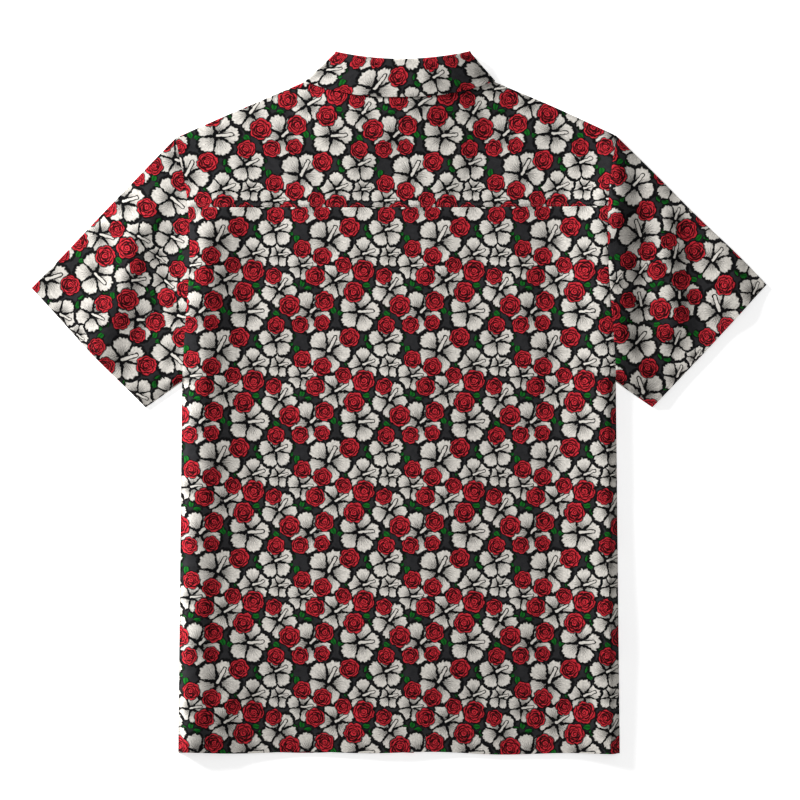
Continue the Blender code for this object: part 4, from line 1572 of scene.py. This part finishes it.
@dataclass
class Front(ClothPiece):
    """One front. The left one lies outside, so it is the one that the buttonholes are in."""

    side: Side = Side.LEFT
    pitch: float = 3.2 * MM
    print_shift: Point = (17.0 * MM, 8.0 * MM)
    flat_size: Point = (0.2715, 0.746)
    flat_area: float = 0.192
    edge_row: float = 2.0 * MM
    placket_row: float = 33.0 * MM
    neck_end: float = 3.0 * MM

    def middle(self, x: Array, y: Array) -> Array:
        """Middle of the front at its place in plan."""
        z = self.lay.lower(x, y)
        return z + self.lay.overlap_lift(x) if self.side is Side.RIGHT else z

    def build(self) -> None:
        """Makes the front, with its hem and placket sewn."""
        lay, line, sign = self.lay, self.lay.outline, self.side.value
        over = lay.overlap_half
        across = shares(line.shoulder[0] + over, self.pitch)
        top = float(line.shoulder_y(line.shoulder[0])) - line.yoke_front
        x, y = line.panel(-over, across, shares(top - line.hem_y, self.pitch), line.hem, line.front_top)
        x = sign * x
        patch = Patch(at(x, y, self.middle), np.stack([-x, y], axis=-1) + self.print_shift)
        hx = sign * np.linspace(self.row_end - over, line.hem_half - self.row_end, 160)
        rows = [self.row(hx, line.hem(np.abs(hx)) + lay.turn_up, self.middle, -1.0)]
        ys = np.linspace(line.hem_y + self.row_end, line.front_neck_y - self.neck_end, 300)
        for inset in (self.edge_row, self.placket_row):
            rows.append(self.row(np.full_like(ys, sign * (inset - over)), ys, self.middle, -1.0))
        node = f"front_{self.side.name.lower()}"
        rests_on = [] if self.side is Side.LEFT else FRONTS[:1]
        self.make(node + "_cloth", node, [patch], node + "_stitches", rows, rests_on)


@dataclass
class Sleeve(ClothPiece):
    """One sleeve: a flattened tube, folded along its top and sewn along the underarm."""

    side: Side = Side.LEFT
    pitch: float = 2.8 * MM
    print_shift: Point = (9.0 * MM, 40.0 * MM)
    flat_size: Point = (0.56, 0.235)
    flat_area: float = 0.0628
    tuck: Point = (0.15 * MM, 0.1 * MM)  # how far in and down the armhole's edge is sewn
    round_steps: int = 7
    seam_pace: float = 3.0 / 7.0  # the fold's columns on the cut, in units of the two columns before it

    def lines(self) -> tuple[Array, Array]:
        """Lines across the sleeve in plan, on its right side.

        Each runs from the start of its top fold to that of its underarm fold, the first at the armhole
        and the last at the hem, with the lines between them in even shares.

        Returns:
            The lines, lines by points by two, and the unit direction down each.
        """
        line = self.lay.outline
        height = line.shoulder[1] - line.underarm[1]
        across = shares(height, self.pitch)[:, None]
        arm_y = line.shoulder[1] - line.fold_inset - across[:, 0] * (height - 2.0 * line.fold_inset)
        arm = np.stack([line.side_x(arm_y) - self.tuck[0], arm_y], axis=-1)
        top, low = np.array(line.sleeve_top), np.array(line.sleeve_low)
        inset = line.fold_inset * (low - top) / np.linalg.norm(low - top)
        hem = top + inset + across * (low - top - 2.0 * inset)
        along = shares(float(np.linalg.norm(arm[0] - hem[0])), self.pitch)
        plan = arm + along[:, None, None] * (hem - arm)
        span = plan[:, -1] - plan[:, 0]
        return plan, span / np.linalg.norm(span, axis=-1, keepdims=True)

    def cut_place(self, plan: Array, folded: bool) -> Array:
        """Place on the flat cloth: axes along and across the sleeve, with its lower half unfolded.

        Args:
            plan: points in plan, any shape by two.
            folded: whether they lie on the lower half, whose plan is mirrored in the top edge.

        Returns:
            Their places.
        """
        line, sign = self.lay.outline, self.side.value
        top, low, shoulder = np.array([line.sleeve_top, line.sleeve_low, line.shoulder]) * (sign, 1.0)
        if folded:
            edge = (shoulder - top) / np.linalg.norm(shoulder - top)
            off = plan - top
            plan = top + 2.0 * (off @ edge)[..., None] * edge - off
        hem = (top - low) / np.linalg.norm(top - low)
        up = np.array([-hem[1], hem[0]]) * sign
        off = plan - (top + low) / 2
        return np.stack([off @ (up[1], -up[0]), off @ up], axis=-1) + self.print_shift

    def cut_ring(self, plan: Array) -> Array:
        """Places on the flat cloth of each ring of the tube, which ends a column past its start.

        Args:
            plan: the lines across the sleeve in plan.

        Returns:
            The places, lines by points round the tube by two.
        """
        over, under = self.cut_place(plan, False), self.cut_place(plan, True)
        share = np.linspace(0.0, 1.0, self.round_steps + 1)[1:-1, None]
        fold = over[:, :1] + share * (under[:, :1] - over[:, :1])
        ahead = self.seam_pace * (under[:, -1:] - under[:, -3:-2])
        seam = under[:, -1:] + ahead * np.arange(1, self.round_steps + 1)[:, None]
        return np.concatenate([over[:, ::-1], fold, under, seam], axis=1)

    def build(self) -> None:
        """Makes the sleeve, with its hem sewn."""
        lay, sign = self.lay, self.side.value
        plan, down = self.lines()
        plan, down = plan * (sign, 1.0), down * (sign, 1.0)
        upper = at(plan[..., 0], plan[..., 1], lay.upper)
        lower = at(plan[..., 0], plan[..., 1], lay.folded_under)
        upper[0, :, 2] -= self.tuck[1]
        reach = lay.outline.fold_inset - lay.shell / 2
        top_fold, low_fold = (
            folded_edge(upper[:, end], lower[:, end], out, reach, self.round_steps).swapaxes(0, 1)
            for end, out in ((0, -down), (-1, down))
        )
        points = np.concatenate([upper[:, ::-1], top_fold, lower, low_fold[:, ::-1]], axis=1)
        share = 1.0 - lay.turn_up / float(np.linalg.norm(plan[0, 0] - plan[-1, 0]))
        hem = plan[int(round(share * (len(plan) - 1)))].T
        rows = [self.row(*hem, lay.upper), self.row(*hem, lay.folded_under, -1.0)]
        node = f"sleeve_{self.side.name.lower()}"
        patch = Patch(points, self.cut_ring(plan))
        self.make(node + "_cloth", node, [patch], node + "_stitches", rows, [])


@dataclass
class Collar(ClothPiece):
    """Stand and leaf of the collar, one strip all round the neck.

    A point is given by its place across the strip, up the stand, over the roll and down the leaf, and by
    its place along it, from the centre of the back round the side to the front end.
    """

    stand_back_y: float = 392.4 * MM
    stand_side: Point = (76.0 * MM, 401.2 * MM)
    roll_back: float = 2.1 * MM
    roll_front: float = 0.8 * MM
    leaf_back_y: float = 351.0 * MM
    leaf_side: Point = (109.0 * MM, 369.3 * MM)
    leaf_rest: float = 0.4 * MM
    lean: float = 4.5 * MM
    turn: Point = (1.1 * MM, 1.1 * MM)
    turn_inset: float = 1.0 * MM
    leaf_depth: float = 45.0 * MM
    runs: Point = (100.0 * MM, 120.0 * MM)  # along the back part and the front part of a row
    stand_steps: int = 9
    roll_steps: int = 8
    pitch: float = 2.2 * MM
    print_shift: Point = (74.0 * MM, 3.0 * MM)
    flat_size: Point = (0.50, 0.085)
    flat_area: float = 0.0344
    edge_row: float = 5.0 * MM

    def profile(self) -> dict[str, Array]:
        """What each row across the strip has, in columns of one value to a row.

        up goes from 0 to 1 up the stand, angle from 0 to pi over the roll, and down from 0 to 1 down
        the leaf. Each value is a sum of these, of over, which is 0 before the roll and 1 after it, and
        of bulge, the roll's half circle.

        Returns:
            The columns by name.
        """
        lay, line = self.lay, self.lay.outline
        seam_rows, leaf = self.stand_steps + 1, shares(self.leaf_depth, self.pitch, low=False)[1:]
        up = np.pad(np.linspace(0.0, 1.0, seam_rows), (0, self.roll_steps + len(leaf)), "edge")[:, None]
        angle = np.linspace(0.0, math.pi, self.roll_steps + 1)[1:]
        angle = np.pad(angle, (seam_rows, len(leaf)), constant_values=(0.0, math.pi))[:, None]
        down = np.pad(leaf, (seam_rows + self.roll_steps, 0))[:, None]
        over, bulge = (1.0 - np.cos(angle)) / 2.0, np.sin(angle)

        def climb(seam: float, stand: float, edge: float) -> Array:
            """Goes from the seam's value to the stand's and on to that of the leaf's edge."""
            return seam + (stand - seam) * up + (edge - stand) * down

        back_y = climb(line.back_neck_y + line.seam, self.stand_back_y, self.leaf_back_y)
        side_x = climb(line.neck[0], self.stand_side[0], self.leaf_side[0])
        side_y = climb(line.neck[1] + line.seam, self.stand_side[1], self.leaf_side[1])
        front_y = climb(line.front_neck_y + line.seam, lay.stand_front[1], lay.leaf_point[1])
        return {
            "back_y": back_y + self.roll_back * bulge,
            "side_x": side_x + self.roll_back * (over - down),
            "side_y": side_y + self.roll_back * bulge,
            "front_x": climb(line.front_neck_flat, lay.stand_front[0], lay.leaf_point[0]),
            "front_y": front_y + self.roll_front * bulge,
            "back_power": 2.0 + 0.5 * down,
            "front_power": 2.0 - 0.85 * down,
            "back_lift": 2.0 * self.roll_back * over,
            "front_z": lay.collar_rise + lay.wall / 2 - 2.0 * self.roll_front * over,
            "lean": self.lean * (up - 0.7 * down),
            "on_front": 1.0 - over,
            "on_yoke": down,
        }

    def half(self, side: Side, row: dict[str, Array]) -> Array:
        """Points of one half, rows by columns by three, from the centre of the back to the front end.

        The back part of a row is a power curve from the centre to the side, at the height of the neck
        seam plus the stand's roll, blended toward the yoke that the leaf falls on. The front part is a
        power curve back to the centre, lying on the floor. A half turn joins the two.

        Args:
            side: the half's side.
            row: what each row has, as profile gives it.

        Returns:
            The points.
        """
        lay, line, sign = self.lay, self.lay.outline, side.value
        end_x = row["side_x"] - self.turn_inset
        share = [np.linspace(0.0, 1.0, int(run / self.pitch) + 1)[None] for run in self.runs]
        x = end_x * share[0]
        climb = (x / row["side_x"]) ** row["back_power"]
        y = row["back_y"] + (row["side_y"] - row["back_y"]) * climb
        seam_y = np.minimum(y, line.back_neck(np.minimum(x, line.neck[0])))
        seam_z = lay.over_z(sign * x, seam_y) + lay.wall / 2
        low = np.maximum(lay.over_z(sign * x, y) + 1.5 * lay.wall + self.leaf_rest, seam_z)
        z = seam_z + row["back_lift"] + (low - seam_z - row["back_lift"]) * row["on_yoke"] ** 1.4
        back = np.stack([x, y, z], axis=-1)
        fx = end_x + (row["front_x"] - end_x) * share[1]
        reach = np.maximum(fx - row["front_x"], 0.0) / (row["side_x"] - row["front_x"])
        fy = row["front_y"] + (row["side_y"] - row["front_y"]) * reach ** row["front_power"]
        fz = row["front_z"] + np.zeros_like(fx)
        if side is Side.RIGHT:
            fz = fz + row["on_front"] * lay.overlap_lift(fx)
        front = np.stack([fx, fy, fz], axis=-1)
        angle = np.linspace(0.0, math.pi, 9)[None, 1:-1, None]
        out = np.sin(angle) * np.array([*self.turn, 0.0])
        turn = back[:, -1:] + (front[:, :1] - back[:, -1:]) * (1.0 - np.cos(angle)) / 2.0 + out
        back[..., 0] = sign * back[..., 0] + row["lean"]
        turn[..., 0] = sign * turn[..., 0] + row["lean"]
        front[..., 0] = sign * front[..., 0] + row["lean"] * reach**2
        return np.concatenate([back, turn, front], axis=1)

    def build(self) -> None:
        """Makes the collar, with a row of stitches round its leaf.

        The print runs along the strip by the length of one row of the stand below the roll and of one
        row of the leaf past it, and goes from the one to the other over the roll.
        """
        row = self.profile()
        left, right = self.half(Side.LEFT, row), self.half(Side.RIGHT, row)
        points = settled(np.concatenate([left[:, :0:-1], right], axis=1))
        middle = points.shape[1] // 2
        along = np.cumsum(np.linalg.norm(np.diff(points, axis=1, prepend=points[:, :1]), axis=-1), axis=1)
        along = along - along[:, middle, None]
        across = np.cumsum(np.linalg.norm(np.diff(points[:, middle], axis=0), axis=1))
        across = np.concatenate([[0.0], across])
        stand, past = self.stand_steps // 2, self.stand_steps + self.roll_steps
        on_leaf = np.clip((np.arange(len(points)) - self.stand_steps) / self.roll_steps, 0.0, 1.0)[:, None]
        u = along[stand] + on_leaf * (along[(past + len(points)) // 2] - along[stand])
        v = np.broadcast_to(-across[:, None], u.shape)
        patch = Patch(points, np.stack([u, v], axis=-1) + self.print_shift)
        near = int(np.argmin(np.abs(across - across[-1] + self.edge_row)))
        sewn = self.grid_row(points[near - 1 : near + 2, 4:-4])
        self.make("collar_cloth", "collar", [patch], "collar_stitches", [sewn], ["yoke_cloth"])


# ------------------------------------------------------------------ buttons


@dataclass
class Buttons:
    """The buttons of the front opening, their thread and their buttonholes."""

    lay: Lay
    plastic: bpy.types.Material
    thread: bpy.types.Material
    count: int = 7
    top_y: float = 284.0 * MM
    pitch: float = 97.0 * MM
    radius: float = 5.75 * MM
    thick: float = 2.0 * MM
    rim: float = 1.3 * MM
    dish: float = 0.5 * MM
    hole_out: float = 1.7 * MM
    hole_radius: float = 0.85 * MM
    hole_depth: float = 0.9 * MM
    thread_radius: float = 0.38 * MM
    bar_gap: float = 0.28 * MM  # half the distance between the two threads of a bar
    shank_radius: float = 1.1 * MM
    shank_turns: int = 3
    edge: float = 0.5 * MM
    slot_half: float = 7.6 * MM
    slot_width: float = 1.5 * MM
    stitch_pitch: float = 0.55 * MM
    face_rings: int = 22
    spokes: int = 56

    def button(self, name: str, y: float) -> bpy.types.Object:
        """One button, lying with its dished face down.

        A point is a radius along the profile and an angle. The face is dished inside a round rim, and
        four wells sink into it by a smooth step of the distance to their centres. The back is domed.

        Args:
            name: its name.
            y: its centre's place along the opening.

        Returns:
            The button.
        """
        r_face, rise = self.radius - self.rim, np.array([0.12, 0.5, 0.88, 1.0])
        radii = [np.linspace(0.0, r_face, self.face_rings), r_face + self.dish * rise]
        heights = [np.full(self.face_rings, self.dish), self.dish * (1.0 - smooth(rise))]
        turn = np.linspace(0.0, math.pi, 9)[1:]
        corner = np.minimum(turn, math.pi / 2), np.maximum(turn - math.pi / 2, 0.0)
        radii.append(self.radius + self.edge * (np.sin(corner[0]) + np.cos(corner[1]) - 2.0))
        up = np.where(turn <= math.pi / 2, self.edge - self.edge * np.cos(corner[0]), self.thick - self.edge)
        heights.append(up + self.edge * np.sin(corner[1]))
        radii.append(np.array([self.radius * 0.5, 0.0]))
        heights.append(np.full(2, self.thick))
        radius, height = np.concatenate(radii)[:, None], np.concatenate(heights)[:, None]
        angle = 2.0 * math.pi * np.arange(self.spokes)[None, :] / self.spokes
        px, py = radius * np.cos(angle), radius * np.sin(angle)
        z = height + np.zeros_like(px)
        face = (np.arange(len(radius)) < self.face_rings)[:, None]
        for k in range(4):
            place = math.pi / 4 + k * math.pi / 2
            away = np.hypot(px - self.hole_out * math.cos(place), py - self.hole_out * math.sin(place))
            z = z + face * self.hole_depth * (1.0 - smooth((away / self.hole_radius - 0.72) / 0.4))
        mesh = tube_mesh(name, [np.stack([px, y + py, z], axis=-1)])
        mesh.set_sharp_from_angle(angle=math.radians(50.0))
        return add_piece(name, mesh, self.plastic)

    def tube(self, path: Array, radius: float, sides: int = 8) -> Array:
        """Rings round a path in a plane x = constant or y = constant, closed to points at its ends.

        Args:
            path: points along it.
            radius: its radius.
            sides: points in a ring.

        Returns:
            The rings, points of the path by sides by three.
        """
        ahead = np.gradient(path, axis=0)
        ahead = ahead / np.linalg.norm(ahead, axis=1, keepdims=True)
        level = np.cross(ahead, (0.0, 0.0, 1.0))
        level = level / np.maximum(np.linalg.norm(level, axis=1, keepdims=True), 1e-9)
        up = np.cross(level, ahead)
        turn = 2.0 * math.pi * np.arange(sides) / sides
        size = np.full(len(path), radius)
        size[[0, -1]] = 0.0
        ring = level[:, None] * np.cos(turn)[None, :, None] + up[:, None] * np.sin(turn)[None, :, None]
        return path[:, None] + ring * size[:, None, None]

    def sewn_on(self, name: str, y: float) -> bpy.types.Object:
        """Thread of one button: two double bars over its face, each an arch, and the shank behind it.

        Args:
            name: the thread's name.
            y: the button's place along the opening.

        Returns:
            The thread.
        """
        t = np.linspace(0.0, 1.0, 13)
        out = self.hole_out * math.sqrt(0.5)
        z = self.dish + 0.9 * MM - 0.95 * MM * np.sin(math.pi * t) ** 0.45
        tubes = []
        for x in (-out - self.bar_gap, -out + self.bar_gap, out - self.bar_gap, out + self.bar_gap):
            path = np.stack([np.full_like(t, x), y + out * (2.0 * t - 1.0), z], axis=-1)
            tubes.append(self.tube(path, self.thread_radius * 0.8))
        t = np.linspace(0.0, 1.0, 25)
        angle = 2.0 * math.pi * self.shank_turns * t
        ring = self.shank_radius * np.cos(angle), y + self.shank_radius * np.sin(angle)
        shank = np.stack([*ring, self.thick + 0.12 * MM + 0.5 * MM * t], axis=-1)
        tubes.append(self.tube(shank, 0.22 * MM, 6))
        return add_piece(name, tube_mesh(name, tubes), self.thread)

    def buttonhole(self, name: str, y: float) -> bpy.types.Object:
        """Close stitches round one buttonhole: short bars side by side along both lips and ends.

        Args:
            name: its name.
            y: its centre's place along the opening.

        Returns:
            The stitches.
        """
        z = self.lay.button_lift + self.lay.wall / 2 - self.lay.shell / 2
        t = np.linspace(-1.0, 1.0, 6)
        drop = 0.16 * MM * (1.0 - np.abs(t) ** 4)
        tubes = []
        for side in (-1.0, 1.0):
            x = side * 0.55 * self.slot_width + t * 0.55 * MM
            for step in np.arange(-self.slot_half, self.slot_half, self.stitch_pitch):
                path = np.stack([x, np.full_like(t, y + step), z - drop + 0.05 * MM], axis=-1)
                tubes.append(self.tube(path, 0.2 * MM, 5))
        for end in (-self.slot_half, self.slot_half):
            for step in (-0.3 * MM, 0.3 * MM):
                path = np.stack([t * 1.5 * MM, np.full_like(t, y + end + step), z - 1.5 * drop], axis=-1)
                tubes.append(self.tube(path, 0.24 * MM, 5))
        return add_piece(name, tube_mesh(name, tubes), self.thread)

    def build(self) -> None:
        """Makes each button with its thread and buttonhole."""
        for k in range(self.count):
            y = self.top_y - k * self.pitch
            made = self.button(f"shirt_button_{k + 1}", y)
            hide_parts(f"button_{k + 1}")
            self.sewn_on(f"button_thread_{k + 1}", y)
            self.buttonhole(f"buttonhole_{k + 1}", y)


# ------------------------------------------------------------------ studio


class Lamp(NamedTuple):
    """An area light: where it is, what it looks at, its side in metres and its power in watts."""

    name: str
    place: tuple[float, float, float]
    aim: tuple[float, float, float]
    side: float
    power: float


@dataclass
class Studio:
    """Floor, soft light and the camera, which looks straight down."""

    lens: float = 120.0
    sensor: float = 36.0
    frame_width: float = 0.92
    centre: Point = (1.15 * MM, 2.9 * MM)
    ambient: float = 0.30
    floor_half: float = 4.0
    lamps: tuple[Lamp, ...] = (
        Lamp("key_left", (-2.5, 1.8, 0.9), (-0.05, 0.0, 0.0), 0.8, 235.0),
        Lamp("fill_above", (0.2, 0.6, 3.6), (0.0, 0.0, 0.0), 3.0, 16.0),
    )

    def build(self) -> None:
        """Makes the floor, the lights, the background and the camera."""
        half = self.floor_half
        corners = [(-half, -half), (half, -half), (half, half), (-half, half)]
        mesh = bpy.data.meshes.new("floor")
        mesh.from_pydata([(x, y, -0.2 * MM) for x, y in corners], [], [(0, 1, 2, 3)])
        mesh.materials.append(Paper().material())
        floor = bpy.data.objects.new("floor", mesh)
        bpy.context.scene.collection.objects.link(floor)
        for lamp in self.lamps:
            self.light(lamp)
        world = bpy.data.worlds.new("studio")
        world.use_nodes = True
        world.node_tree.nodes["Background"].inputs["Color"].default_value = (1.0, 1.0, 1.0, 1.0)
        world.node_tree.nodes["Background"].inputs["Strength"].default_value = self.ambient
        bpy.context.scene.world = world
        self.camera()
        bpy.context.scene.view_settings.view_transform = "Standard"

    @staticmethod
    def light(lamp: Lamp) -> None:
        """Adds one area light that faces its aim.

        Args:
            lamp: the light.
        """
        data = bpy.data.lights.new(lamp.name, "AREA")
        data.size = lamp.side
        data.energy = lamp.power
        made = bpy.data.objects.new(lamp.name, data)
        made.location = lamp.place
        toward = Vector(lamp.aim) - Vector(lamp.place)
        made.rotation_euler = toward.to_track_quat("-Z", "Y").to_euler()
        bpy.context.scene.collection.objects.link(made)

    def camera(self) -> None:
        """Adds the camera, at the height from which the frame's width is seen."""
        data = bpy.data.cameras.new("camera")
        data.lens = self.lens
        data.sensor_width = self.sensor
        data.clip_start, data.clip_end = 0.1, 20.0
        made = bpy.data.objects.new("camera", data)
        made.location = (*self.centre, self.frame_width * self.lens / self.sensor + 10.0 * MM)
        bpy.context.scene.collection.objects.link(made)
        bpy.context.scene.camera = made


# ------------------------------------------------------------------ all of it


def main() -> None:
    """Builds the shirt's pieces in order, then the studio."""
    logging.basicConfig(level=logging.INFO, format="%(name)s %(message)s")
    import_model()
    lay = Lay()
    cloth = Print().material()
    thread = Thread().material()
    sewing = Sewing(thread)
    for side in Side:
        Front(lay, cloth, sewing, side=side).build()
    for side in Side:
        Sleeve(lay, cloth, sewing, side=side).build()
    BackPanel(lay, cloth, sewing).build()
    BackYoke(lay, cloth, sewing).build()
    Collar(lay, cloth, sewing).build()
    Buttons(lay, ButtonPlastic().material(), thread).build()
    Studio().build()


if __name__ == "__main__":
    main()
